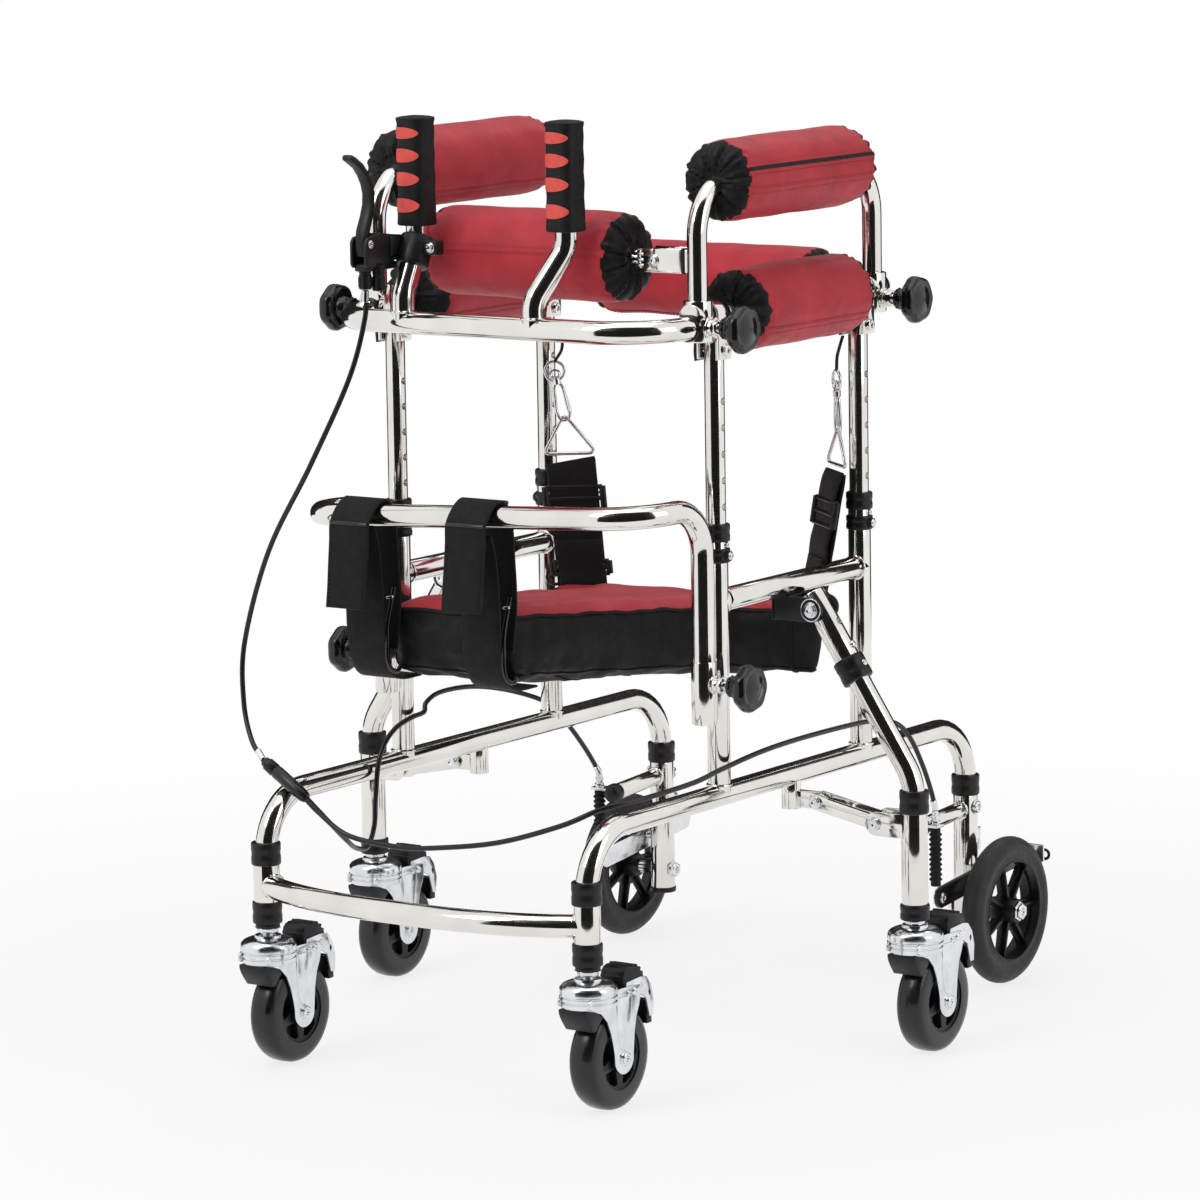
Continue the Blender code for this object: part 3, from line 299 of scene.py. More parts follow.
def turned(profile, start, along, sides=32):
    """A body of revolution: a disc extruded ring by ring through (distance, radius) steps."""
    along = Vector(along).normalized()
    start = Vector(start)
    clear()
    bpy.ops.mesh.primitive_circle_add(vertices=sides, radius=profile[0][1], fill_type="NGON",
                                      location=start + along * profile[0][0], rotation=turn_to(along))
    piece = settled(bpy.context.object)
    edited(piece, "FACE")
    for (before, old), (distance, radius) in zip(profile, profile[1:]):
        bpy.ops.mesh.extrude_region_move(TRANSFORM_OT_translate={"value": along * (distance - before)})
        grow = radius / old
        bpy.ops.transform.resize(value=(grow, grow, grow), center_override=start + along * distance)
    bpy.ops.mesh.select_all(action="SELECT")
    bpy.ops.mesh.normals_make_consistent(inside=False)
    bpy.ops.object.mode_set(mode="OBJECT")
    return piece


def ring(centre, along, major, minor, sides=36, round_sides=10):
    """A wire ring round an axis."""
    clear()
    bpy.ops.mesh.primitive_torus_add(major_segments=sides, minor_segments=round_sides, major_radius=major,
                                     minor_radius=minor, location=centre, rotation=turn_to(along))
    return settled(bpy.context.object)


def tube(points, radius, sides=28, closed=False):
    """A round tube along the points, with closed ends."""
    clear()
    bpy.ops.curve.primitive_nurbs_path_add()
    line = bpy.context.object
    line.data.splines.clear()
    strand = line.data.splines.new("POLY")
    strand.points.add(len(points) - 1)
    strand.use_cyclic_u = closed
    for index, place in enumerate(points):
        strand.points[index].co = (*place, 1.0)
    line.data.bevel_depth = radius
    line.data.bevel_resolution = (sides - 4) // 2
    line.data.use_fill_caps = not closed
    bpy.ops.object.convert(target="MESH")
    return merged(bpy.context.object)


def slab(outline, place, depth, edge=0.0005):
    """A flat plate: a disc with its corners on the outline, pulled to its depth; place(a, b) is a corner."""
    clear()
    bpy.ops.mesh.primitive_circle_add(vertices=len(outline), radius=0.01, fill_type="NGON")
    piece = bpy.context.object
    for vertex, (a, b) in zip(piece.data.vertices, outline):
        vertex.co = place(a, b)
    edited(piece, "FACE")
    bpy.ops.mesh.extrude_region_move(TRANSFORM_OT_translate={"value": depth})
    bpy.ops.mesh.select_all(action="SELECT")
    bpy.ops.mesh.normals_make_consistent(inside=False)
    bpy.ops.object.mode_set(mode="OBJECT")
    return rounded(piece, edge, 2, 50) if edge else piece


def side_slab(outline, low, high, edge=0.0005):
    """A plate whose outline is drawn in the side view as (y, z) pairs, between two values of X."""
    return slab(outline, lambda a, b: (low, a, b), (high - low, 0, 0), edge)


def front_slab(outline, low, high, edge=0.0005):
    """A plate whose outline is drawn in the front view as (x, z) pairs, between two values of Y."""
    return slab(outline, lambda a, b: (a, low, b), (0, high - low, 0), edge)


def arc(centre, radius, start, end, steps):
    """Points on an arc, in degrees, as (a, b) pairs."""
    angles = [math.radians(start + (end - start) * step / steps) for step in range(steps + 1)]
    return [(centre[0] + radius * math.cos(angle), centre[1] + radius * math.sin(angle)) for angle in angles]


def bend(corners, radii, steps=10):
    """The path through these corners, each rounded to its radius."""
    corners = [Vector(corner) for corner in corners]
    if not isinstance(radii, (list, tuple)):
        radii = [radii] * (len(corners) - 2)
    path = [corners[0]]
    for before, corner, after, radius in zip(corners, corners[1:], corners[2:], radii):
        back = (before - corner).normalized()
        ahead = (after - corner).normalized()
        half = back.angle(ahead) / 2
        centre = corner + (back + ahead).normalized() * radius / math.sin(half)
        first = corner + back * radius / math.tan(half) - centre
        axis = back.cross(ahead).normalized()
        for step in range(steps + 1):
            path.append(centre + Matrix.Rotation(-(math.pi - 2 * half) * step / steps, 3, axis) @ first)
    path.append(corners[-1])
    return path


def flowing(route, spacing):
    """Evenly spaced points on a smooth curve through the route's points."""
    points = [Vector(point) for point in route]
    points = [2 * points[0] - points[1]] + points + [2 * points[-1] - points[-2]]
    fine = []
    for a, b, c, d in zip(points, points[1:], points[2:], points[3:]):
        for step in range(20):
            t = step / 20
            fine.append(0.5 * (2 * b + (c - a) * t + (2 * a - 5 * b + 4 * c - d) * t ** 2
                               + (3 * b - a - 3 * c + d) * t ** 3))
    fine.append(points[-2])
    total = sum((q - p).length for p, q in zip(fine, fine[1:]))
    count = max(2, round(total / spacing))
    even, travelled, target = [fine[0]], 0.0, total / count
    for p, q in zip(fine, fine[1:]):
        travelled += (q - p).length
        if travelled >= target and len(even) < count:
            even.append(q)
            target += total / count
    even.append(fine[-1])
    return even


def ribbon(path, across, width, thickness, columns=4):
    """Webbing along a path: a grid laid along it, then thickened; its UV map is in metres."""
    across = Vector(across).normalized()
    path = [Vector(point) for point in path]
    clear()
    bpy.ops.mesh.primitive_grid_add(x_subdivisions=columns, y_subdivisions=len(path) - 1, size=1)
    piece = bpy.context.object
    travelled = [0.0]
    for before, after in zip(path, path[1:]):
        travelled.append(travelled[-1] + (after - before).length)
    for index, vertex in enumerate(piece.data.vertices):
        row, column = divmod(index, columns + 1)
        vertex.co = path[row] + across * width * (column / columns - 0.5)
    cloth_map = piece.data.uv_layers.active.data
    for loop in piece.data.loops:
        row, column = divmod(loop.vertex_index, columns + 1)
        cloth_map[loop.index].uv = (width * column / columns, travelled[row])
    modified(piece, "SOLIDIFY", thickness=thickness, offset=0.0)
    return rounded(piece, thickness * 0.3, 2, 60)


def bolt(place, along, radius, height, sides=28):
    """A bolt head on its washer with a socket in its face; six sides make it a nut."""
    profile = [(-0.0002, radius * 1.25), (0.0006, radius * 1.25), (0.0008, radius), (height - 0.0006, radius),
               (height, radius * 0.88), (height, radius * 0.48), (height * 0.5, radius * 0.42),
               (height * 0.5, radius * 0.05)]
    return rounded(turned(profile, place, along, sides), 0.00025, 1, 30)


def collar(start, end, radius):
    """A moulded collar with rounded rims and a shallow waist."""
    start, end = Vector(start), Vector(end)
    size = (end - start).length
    rim = 0.0014
    profile = [(0.0, radius - rim), (rim * 0.3, radius - rim * 0.35), (rim, radius), (size * 0.36, radius),
               (size * 0.42, radius - 0.0004), (size * 0.58, radius - 0.0004), (size * 0.64, radius),
               (size - rim, radius), (size - rim * 0.3, radius - rim * 0.35), (size, radius - rim)]
    return turned(profile, start, end - start, 36)


def weld(centre, along, radius):
    """A weld bead round a tube where it meets another."""
    bead = ring(centre, along, radius + 0.0004, 0.0013, 48, 8)
    middle = Vector(centre)
    return reshaped(bead, lambda place: place + (place - middle) * 0.03 * noise.noise(place * 900))


def dashes(path, radius, size, gap):
    """A line of stitches along a path."""
    path = [Vector(point) for point in path]
    marks = []
    travelled, target = 0.0, 0.0
    for before, after in zip(path, path[1:]):
        step = after - before
        while target + size <= travelled + step.length and step.length > 1e-9:
            start = before + step * ((target - travelled) / step.length)
            marks.append((start, start + step.normalized() * size))
            target += size + gap
        travelled += step.length
    clear()
    bpy.ops.curve.primitive_nurbs_path_add()
    line = bpy.context.object
    line.data.splines.clear()
    for mark in marks:
        strand = line.data.splines.new("POLY")
        strand.points.add(1)
        for point, place in zip(strand.points, mark):
            point.co = (*place, 1.0)
    line.data.bevel_depth = radius
    line.data.bevel_resolution = 1
    line.data.use_fill_caps = True
    bpy.ops.object.convert(target="MESH")
    return merged(bpy.context.object)


def swollen(piece, voxel, reach, pressure=4.0):
    """Swells a closed cover as its filling does: remeshed, filled by cloth pressure and smoothed."""
    modified(piece, "REMESH", mode="VOXEL", voxel_size=voxel)
    before = [vertex.co.copy() for vertex in piece.data.vertices]
    only(piece)
    bpy.ops.object.modifier_add(type="CLOTH")
    cover = piece.modifiers[-1]
    cover.settings.use_pressure = True
    cover.settings.uniform_pressure_force = pressure
    cover.settings.effector_weights.gravity = 0
    for step in range(1, 21):
        bpy.context.scene.frame_set(step)
    bpy.ops.object.modifier_apply(modifier=cover.name)
    bpy.context.scene.frame_set(1)
    for vertex, place in zip(piece.data.vertices, before):
        moved = vertex.co - place
        if moved.length > reach:
            vertex.co = place + moved.normalized() * reach
    return modified(piece, "SUBSURF", levels=1, render_levels=1)


# Finishes: the real material of each surface, its sizes in millimetres

def node(tree, kind, inputs=None, **settings):
    """Adds a shader node with its settings; an input is a value or another node's output."""
    made = tree.nodes.new(kind)
    for key, value in settings.items():
        setattr(made, key, value)
    for key, value in (inputs or {}).items():
        if isinstance(value, bpy.types.NodeSocket):
            tree.links.new(value, made.inputs[key])
        else:
            made.inputs[key].default_value = value
    return made


def started(name, metallic=0.0, coordinates="Object", **sockets):
    """A new material: its tree, its shader and the piece's own coordinates."""
    made = bpy.data.materials.new(name)
    made.use_nodes = True
    tree = made.node_tree
    shader = tree.nodes["Principled BSDF"]
    shader.inputs["Metallic"].default_value = metallic
    for key, value in sockets.items():
        shader.inputs[key.replace("_", " ")].default_value = value
    return made, tree, shader, node(tree, "ShaderNodeTexCoord").outputs[coordinates]


def blotches(tree, place, size_mm, low, high, detail=2.0):
    """Soft blotches of this size that run from low to high."""
    cloud = node(tree, "ShaderNodeTexNoise", {"Vector": place, "Scale": 1000 / size_mm, "Detail": detail})
    spread = node(tree, "ShaderNodeMapRange", {"Value": cloud.outputs["Fac"], "From Min": 0.3,
                                               "From Max": 0.7, "To Min": low, "To Max": high})
    return spread.outputs["Result"]


def shaded(tree, shader, colours, amount):
    """Runs the shader's colour between two colours."""
    mix = node(tree, "ShaderNodeMix", {0: amount, 6: (*colours[0], 1), 7: (*colours[1], 1)}, data_type="RGBA")
    tree.links.new(mix.outputs[2], shader.inputs["Base Color"])


def raised(tree, shader, height, depth_mm):
    """Raises the surface by a pattern, to this depth."""
    bump = node(tree, "ShaderNodeBump", {"Height": height, "Strength": 1.0, "Distance": depth_mm / 1000})
    tree.links.new(bump.outputs["Normal"], shader.inputs["Normal"])


def threads(spacing_mm):
    """The Wave texture's scale that sets its bands this far apart."""
    return 1000 * math.tau / 20 / spacing_mm


def tinted(base, factor):
    """A colour made lighter or darker."""
    return tuple(min(1.0, channel * factor) for channel in base)


def mottled(name, base, tones, gloss, grain=None, weave=None, metallic=0.0, **sockets):
    """A finish that varies softly over the piece.

    tones are the darkest and lightest share of the base colour, the blotches' size in mm and their detail;
    gloss is the size, lowest and highest roughness and detail; grain is the size, detail and depth in mm;
    weave is the thread spacing in mm, its distortion, its share of the height, the folds' size and depth.
    """
    made, tree, shader, place = started(name, metallic, **sockets)
    dark, light, size, detail = tones
    patches = blotches(tree, place, size, 0.0, 1.0, detail)
    shaded(tree, shader, (tinted(base, dark), tinted(base, light)), patches)
    tree.links.new(blotches(tree, place, *gloss), shader.inputs["Roughness"])
    if grain:
        size, detail, depth = grain
        raised(tree, shader, blotches(tree, place, size, 0.0, 1.0, detail), depth)
    if weave:
        spacing, distortion, share, size, depth = weave
        waves = node(tree, "ShaderNodeTexWave", {"Vector": place, "Scale": threads(spacing), "Detail": 1.0,
                                                 "Distortion": distortion}, bands_direction="DIAGONAL")
        folds = blotches(tree, place, size, 0.0, 1.0, 3.0)
        height = node(tree, "ShaderNodeMath", {0: waves.outputs["Fac"], 1: share, 2: folds},
                      operation="MULTIPLY_ADD")
        raised(tree, shader, height.outputs["Value"], depth)
    return made


def polished_stainless(colours):
    """Stainless steel tube, buffed: a clear reflection with faint buffing clouds and hairlines."""
    return mottled("polished_stainless", colours.steel, (0.93, 1.04, 45, 2.0), (7, 0.06, 0.13, 4.0),
                   grain=(1.5, 3.0, 0.004), metallic=1.0)


def zinc_plate(colours):
    """Zinc-plated pressed steel: bright and clear, with duller patches and a slight orange peel."""
    return mottled("zinc_plate", colours.zinc, (0.9, 1.06, 14, 3.0), (9, 0.12, 0.23, 3.0),
                   grain=(6, 2.0, 0.012), metallic=1.0)


def moulded_nylon(colours):
    """Injection-moulded nylon: a fine spark-eroded grain, drawn at 1 mm so that it shows."""
    return mottled("moulded_nylon", colours.nylon, (1.0, 1.9, 14, 4.0), (3, 0.3, 0.46, 4.0),
                   grain=(1.0, 2.0, 0.03), IOR=1.53, Specular_IOR_Level=0.3)


def glossy_phenolic(colours):
    """Moulded phenolic knob: near-black with a clear gloss and light handling marks."""
    return mottled("glossy_phenolic", colours.knob, (1.0, 1.8, 10, 3.0), (5, 0.12, 0.24, 4.0),
                   grain=(6, 2.0, 0.03), IOR=1.6, Specular_IOR_Level=0.25, Coat_Weight=0.3,
                   Coat_Roughness=0.05)


def cast_tread(colours):
    """Cast polyurethane caster tread: smooth and glossy with a faint scuffed bloom."""
    return mottled("cast_tread", colours.tread, (1.0, 2.2, 16, 4.0), (6, 0.2, 0.38, 4.0),
                   grain=(2.0, 3.0, 0.02), IOR=1.5, Specular_IOR_Level=0.3, Coat_Weight=0.35,
                   Coat_Roughness=0.12)


def foamed_tyre(colours):
    """Foamed rubber tyre: dark grey, matt, with a soft sheen and mould bloom."""
    return mottled("foamed_tyre", colours.tyre, (0.8, 1.35, 18, 4.0), (5, 0.42, 0.58, 4.0),
                   grain=(1.2, 2.0, 0.05), IOR=1.5, Specular_IOR_Level=0.3, Sheen_Weight=0.08,
                   Sheen_Roughness=0.4)


def coated_nylon(colours):
    """PU-coated woven nylon: a soft sheen, puckers about 22 mm long and a weave drawn at 1.5 mm to show."""
    return mottled("coated_nylon", colours.cover, (0.84, 1.12, 38, 4.0), (12, 0.42, 0.56, 3.0),
                   weave=(0.75, 0.6, 0.02, 22, 0.5), IOR=1.5, Specular_IOR_Level=0.25, Sheen_Weight=0.06,
                   Sheen_Roughness=0.4)


def black_taffeta(colours):
    """Woven black taffeta: soft folds about 12 mm apart and a thread weave drawn at 1.6 mm to show."""
    return mottled("black_taffeta", colours.cloth, (0.6, 1.5, 20, 4.0), (9, 0.45, 0.62, 3.0),
                   weave=(0.8, 0.4, 0.06, 12, 0.4), IOR=1.5, Specular_IOR_Level=0.2, Sheen_Weight=0.05,
                   Sheen_Roughness=0.4)


def ribbed_webbing(colours):
    """Woven nylon webbing: cross ribs drawn at 2 mm to show, on the strap's own UV map in metres, with
    painted shade in the weave's hollows and a painted highlight on its ribs.
    """
    made, tree, shader, place = started("ribbed_webbing", coordinates="UV", IOR=1.5,
                                        Specular_IOR_Level=0.2, Sheen_Weight=0.06, Sheen_Roughness=0.5)
    ribs = node(tree, "ShaderNodeTexWave", {"Vector": place, "Scale": threads(2.0), "Distortion": 0.5,
                                            "Detail": 1.0, "Detail Scale": 2.0}, bands_direction="Y")
    warps = node(tree, "ShaderNodeTexWave", {"Vector": place, "Scale": threads(2.6), "Distortion": 0.3,
                                             "Detail": 1.0}, bands_direction="X")
    weave = node(tree, "ShaderNodeMath", {0: ribs.outputs["Fac"], 1: warps.outputs["Fac"]},
                 operation="MULTIPLY")
    # Painted shade and highlight: the colour follows the weave's relief, darker in its hollows and lighter on
    # its ribs.
    shaded(tree, shader, (tinted(colours.webbing, 0.6), tinted(colours.webbing, 1.5)), weave.outputs["Value"])
    tree.links.new(blotches(tree, place, 10, 0.55, 0.72, 3.0), shader.inputs["Roughness"])
    raised(tree, shader, weave.outputs["Value"], 0.25)
    return made


def grip_rubber(colours):
    """Moulded thermoplastic rubber: matt black with a fine tacky grain drawn at 1 mm."""
    return mottled("grip_rubber", colours.rubber, (0.7, 1.7, 11, 4.0), (4, 0.48, 0.64, 3.0),
                   grain=(1.0, 2.0, 0.05), IOR=1.5, Specular_IOR_Level=0.25)


def grip_insert(colours):
    """Softer coral rubber of the finger inserts: satin, lighter where it is rubbed."""
    return mottled("grip_insert", colours.insert, (0.86, 1.08, 6, 3.0), (3, 0.38, 0.52, 3.0),
                   grain=(1.0, 2.0, 0.04), IOR=1.5)


def cable_housing(colours):
    """Extruded PVC cable housing: satin black with a slight orange peel."""
    return mottled("cable_housing", colours.nylon, (0.8, 1.6, 12, 3.0), (5, 0.26, 0.4, 3.0),
                   grain=(1.5, 2.0, 0.03), IOR=1.53, Specular_IOR_Level=0.3, Coat_Weight=0.2,
                   Coat_Roughness=0.15)


def red_thread(colours):
    """Twisted polyester sewing thread in the cover's darker red."""
    return mottled("red_thread", colours.cover, (0.35, 0.7, 1.0, 2.0), (1.0, 0.5, 0.7, 2.0),
                   IOR=1.5, Sheen_Weight=0.3)


FINISHES = {
    "steel": (polished_stainless, "polished_steel"),
    "zinc": (zinc_plate, "zinc"),
    "nylon": (moulded_nylon, "black_plastic"),
    "knob": (glossy_phenolic, "black_plastic"),
    "tread": (cast_tread, "black_rubber"),
    "tyre": (foamed_tyre, "black_rubber"),
    "cover": (coated_nylon, "red_fabric"),
    "cloth": (black_taffeta, None),
    "webbing": (ribbed_webbing, "webbing"),
    "rubber": (grip_rubber, "black_rubber"),
    "insert": (grip_insert, None),
    "cable": (cable_housing, "black_rubber"),
    "thread": (red_thread, "red_fabric"),
}
made_finishes = {}


def finish(name):
    """The material of this finish, made once."""
    if name not in made_finishes:
        made_finishes[name] = FINISHES[name][0](bpy.context.scene.walker_colours)
    return made_finishes[name]


def dressed(piece, name, kind, body, nodes=(), angle=38):
    """Names a finished piece, gives it its finish and its body, and hides the nodes it replaces; a piece that
    spans two bodies gets its place baked into its mesh and no body.
    """
    only(piece)
    piece.name = name
    piece.data.name = name
    piece.data.materials.clear()
    piece.data.materials.append(finish(kind))
    bpy.ops.object.shade_smooth_by_angle(angle=math.radians(angle))
    if isinstance(body, tuple):
        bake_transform(piece)
    else:
        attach(piece, body)
    if nodes:
        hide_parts(*nodes)
    return piece


def assembled(name, body, parts, mirror=False):
    """Joins the parts of each finish into one piece; the first replaces the node of this name."""
    for index, (kind, pieces) in enumerate(parts.items()):
        piece = joined(pieces)
        stands_for = [name] if index == 0 else []
        if mirror:
            if isinstance(body, tuple):
                other = body[:2] + tuple((-place[0], *place[1:]) for place in body[2:])
            else:
                other = body.replace("right", "left")
            dressed(mirrored(piece), name.replace("right", "left") + "_" + kind, kind, other,
                    [text.replace("right", "left") for text in stands_for])
        dressed(piece, name + "_" + kind, kind, body, stands_for)


# Operators, one for each piece or group of like pieces

class WALKER_OT_side_frames(bpy.types.Operator):
    """Low side tubes, outer posts with their collars, rails, sockets and the outriggers' hinge clamps"""
    bl_idname = "walker.side_frames"
    bl_label = "Side frames"

    def execute(self, context):
        sizes = context.scene.walker_sizes
        x = FRAME_X
        corners = [(x, FRONT_LEG_Y, 0.199), (x, FRONT_LEG_Y, SIDE_Z), (x, REAR_LEG_Y, SIDE_Z),
                   (x, REAR_LEG_Y, 0.2)]
        steel = [tube(bend(corners, 0.058), sizes.tube)]
        black = [collar((x, FRONT_LEG_Y, 0.1983), (x, FRONT_LEG_Y, 0.2205), sizes.collar),
                 collar((x, REAR_LEG_Y, 0.1903), (x, REAR_LEG_Y, 0.2112), sizes.collar)]
        zinc = []
        for y in POST_YS:
            steel.append(rod((x, y, SIDE_Z), (x, y, 0.523), sizes.tube))
            steel.append(weld((x, y, SIDE_Z + 0.0102), (0, 0, 1), sizes.tube))
            black.append(collar((x, y, 0.507), (x, y, 0.524), sizes.post_collar + 0.0002))
            black.append(collar((x, y, 0.487), (x, y, 0.501), sizes.post_collar + 0.0002))
            black.append(rod((x + 0.009, y, 0.494), (x + 0.016, y, 0.494), 0.005))
            zinc.append(bolt((x + 0.016, y, 0.494), (1, 0, 0), 0.0032, 0.0018))
            zinc.append(bolt((x + sizes.tube - 0.0004, y, 0.504), (1, 0, 0), 0.0026, 0.0028))
        steel.append(rod((x, POST_YS[0], RAIL_Z), (x, POST_YS[1], RAIL_Z), sizes.tube))
        steel.append(weld((x, POST_YS[0] + 0.0098, RAIL_Z), (0, 1, 0), sizes.tube))
        steel.append(weld((x, POST_YS[1] - 0.0098, RAIL_Z), (0, 1, 0), sizes.tube))
        # Socket of the middle bow, with the boss of its clamp knob
        steel.append(rod((x, MID_BOW_Y, 0.336), (x, MID_BOW_Y, 0.396), sizes.socket))
        steel.append(bar((x - 0.005, MID_BOW_Y + 0.008, 0.342), (x + 0.005, POST_YS[0] - 0.006, 0.39)))
        steel.append(rod((x, MID_BOW_Y, MID_KNOB_Z), (x + 0.018, MID_BOW_Y, MID_KNOB_Z), 0.007))
        steel.append(weld((x + 0.012, MID_BOW_Y, MID_KNOB_Z), (1, 0, 0), 0.007))
        zinc.append(rod((x + 0.0175, MID_BOW_Y, MID_KNOB_Z), (x + 0.0235, MID_BOW_Y, MID_KNOB_Z), 0.0082, 32,
                        0.0015))
        # Stub and ear of the brace
        steel.append(rod((x, -0.006, SIDE_Z), (x, -0.006, 0.2305), sizes.inner))
        qx, qz = BRACE_INNER
        ear = [(x, 0.232), (qx, 0.232)] + arc((qx, qz), 0.008, -90, 90, 10)[1:-1] + [(qx, 0.248), (x, 0.248)]
        steel.append(front_slab(ear, -0.0072, 0.0032, 0.0009))
        zinc.append(rod((qx, -0.0118, qz), (qx, 0.0078, qz), 0.003))
        zinc.append(bolt((qx, -0.0112, qz), (0, -1, 0), 0.0052, 0.003))
        zinc.append(bolt((qx, 0.0072, qz), (0, 1, 0), 0.0052, 0.003, 6))
        # Hinge clamp of the outrigger under the rail
        px, pz = OUT_PIVOT
        y = OUTRIGGER_Y
        end = 0.0118
        cheek = [(0.175, pz - end), (px, pz - end)] + arc((px, pz), end, -90, 90, 16)[1:-1]
        cheek += [(px, pz + end), (0.175, pz + end)]
        for low, high in ((-0.0166, -0.0136), (0.0136, 0.0166)):
            black.append(front_slab(cheek, y + low, y + high, 0.0008))
        black.append(bar((0.1735, y - 0.0166, pz - 0.0125), (0.178, y + 0.0166, pz + 0.013), 0.001))
        black.append(bar((0.174, y - 0.015, pz + 0.006), (0.193, y + 0.015, pz + 0.0125), 0.0012))
        for face, way in ((-0.0166, -1), (0.0166, 1)):
            zinc.append(ring((px, y + face, pz), (0, 1, 0), 0.0108, 0.0006))
            zinc.append(bolt((px, y + face, pz), (0, way, 0), 0.0062, 0.003))
        assembled("side_frame_right", "base", {"steel": steel, "nylon": black, "zinc": zinc},
                  mirror=True)
        return {"FINISHED"}


class WALKER_OT_front_bow(bpy.types.Operator):
    """Low bow between the front legs, with the legs' sleeves, lower collars and caster nuts"""
    bl_idname = "walker.front_bow"
    bl_label = "Front bow"

    def execute(self, context):
        sizes = context.scene.walker_sizes
        reach, depth, count = 0.184, 0.039, 40
        path = []
        for step in range(count + 1):
            x = reach * (2 * step / count - 1)
            path.append((x, FRONT_LEG_Y - depth + depth * abs(x / reach) ** 2.7, 0.178))
        steel, black, zinc = [tube(path, sizes.tube)], [], []
        for s in SIDES.values():
            x, y = s * FRAME_X, FRONT_LEG_Y
            steel.append(rod((x, y, 0.15), (x, y, 0.199), sizes.sleeve))
            steel.append(weld((x - s * 0.0118, y - 0.0035, 0.178), (-s, -0.45, 0), sizes.tube))
            black.append(collar((x, y, 0.1415), (x, y, 0.163), sizes.collar))
            black.append(rod((x, y, 0.1368), (x, y, 0.142), 0.0118))
            zinc.append(bolt((x, y, 0.1372), (0, 0, -1), 0.0102, 0.0052, 6))
        assembled("front_bow", "base", {"steel": steel, "nylon": black, "zinc": zinc})
        return {"FINISHED"}


class WALKER_OT_rear_legs(bpy.types.Operator):
    """Rear legs with their end caps, brake stubs, cable adjusters and axles"""
    bl_idname = "walker.rear_legs"
    bl_label = "Rear legs"

    def execute(self, context):
        sizes = context.scene.walker_sizes
        x, y = FRAME_X, REAR_LEG_Y
        steel = [rod((x, y, 0.053), (x, y, 0.19), sizes.sleeve),
                 rod((x, y, 0.176), (x, y - 0.086, 0.1706), 0.0085),
                 weld((x, y - 0.0122, 0.1752), (0, -1, -0.06), 0.0085)]
        black = [rod((x, y, 0.0505), (x, y, 0.056), 0.0136, 36, 0.0012),
                 turned([(0.0, 0.006), (0.0012, 0.0086), (0.0045, 0.0098), (0.0105, 0.0098), (0.014, 0.0086),
                         (0.0165, 0.0058), (0.0172, 0.002)], (x, y - 0.0815, 0.1709), (0, -1, -0.06))]
        bx = BRAKE_X
        zinc = [bar((x, ADJUSTER_Y - 0.0075, 0.1728), (bx + 0.0062, ADJUSTER_Y + 0.0075, 0.1758), 0.0006),
                bolt((bx, ADJUSTER_Y, 0.1757), (0, 0, 1), 0.005, 0.004, 6),
                turned([(0, 0.0036), (0.0025, 0.0036), (0.003, 0.0042), (0.006, 0.0042), (0.0065, 0.0034),
                        (0.0095, 0.0034), (0.0105, 0.0026)], (bx, ADJUSTER_Y, 0.179), (0, 0, 1)),
                rod((x, y, REAR_WHEEL_Z), (x + 0.0306, y, REAR_WHEEL_Z), 0.0078),
                bolt((x + 0.0628, y, REAR_WHEEL_Z), (1, 0, 0), 0.0084, 0.0046, 6),
                bolt((x - 0.0127, y, REAR_WHEEL_Z), (-1, 0, 0), 0.0078, 0.0052, 6),
                rod((x, y, BRAKE_PIVOT_Z), (bx + 0.0042, y, BRAKE_PIVOT_Z), 0.0042),
                bolt((bx + 0.0034, y, BRAKE_PIVOT_Z), (1, 0, 0), 0.0062, 0.0036),
                bolt((x, y + 0.0127, 0.176), (0, 1, 0), 0.0074, 0.006, 6),
                bolt((x + 0.0127, y, 0.178), (1, 0, 0), 0.006, 0.0034),
                bar((x - 0.0018, y + 0.009, 0.128), (x + 0.0018, y + 0.0275, 0.152), 0.0008)]
        assembled("rear_leg_right", "base", {"steel": steel, "nylon": black, "zinc": zinc},
                  mirror=True)
        return {"FINISHED"}


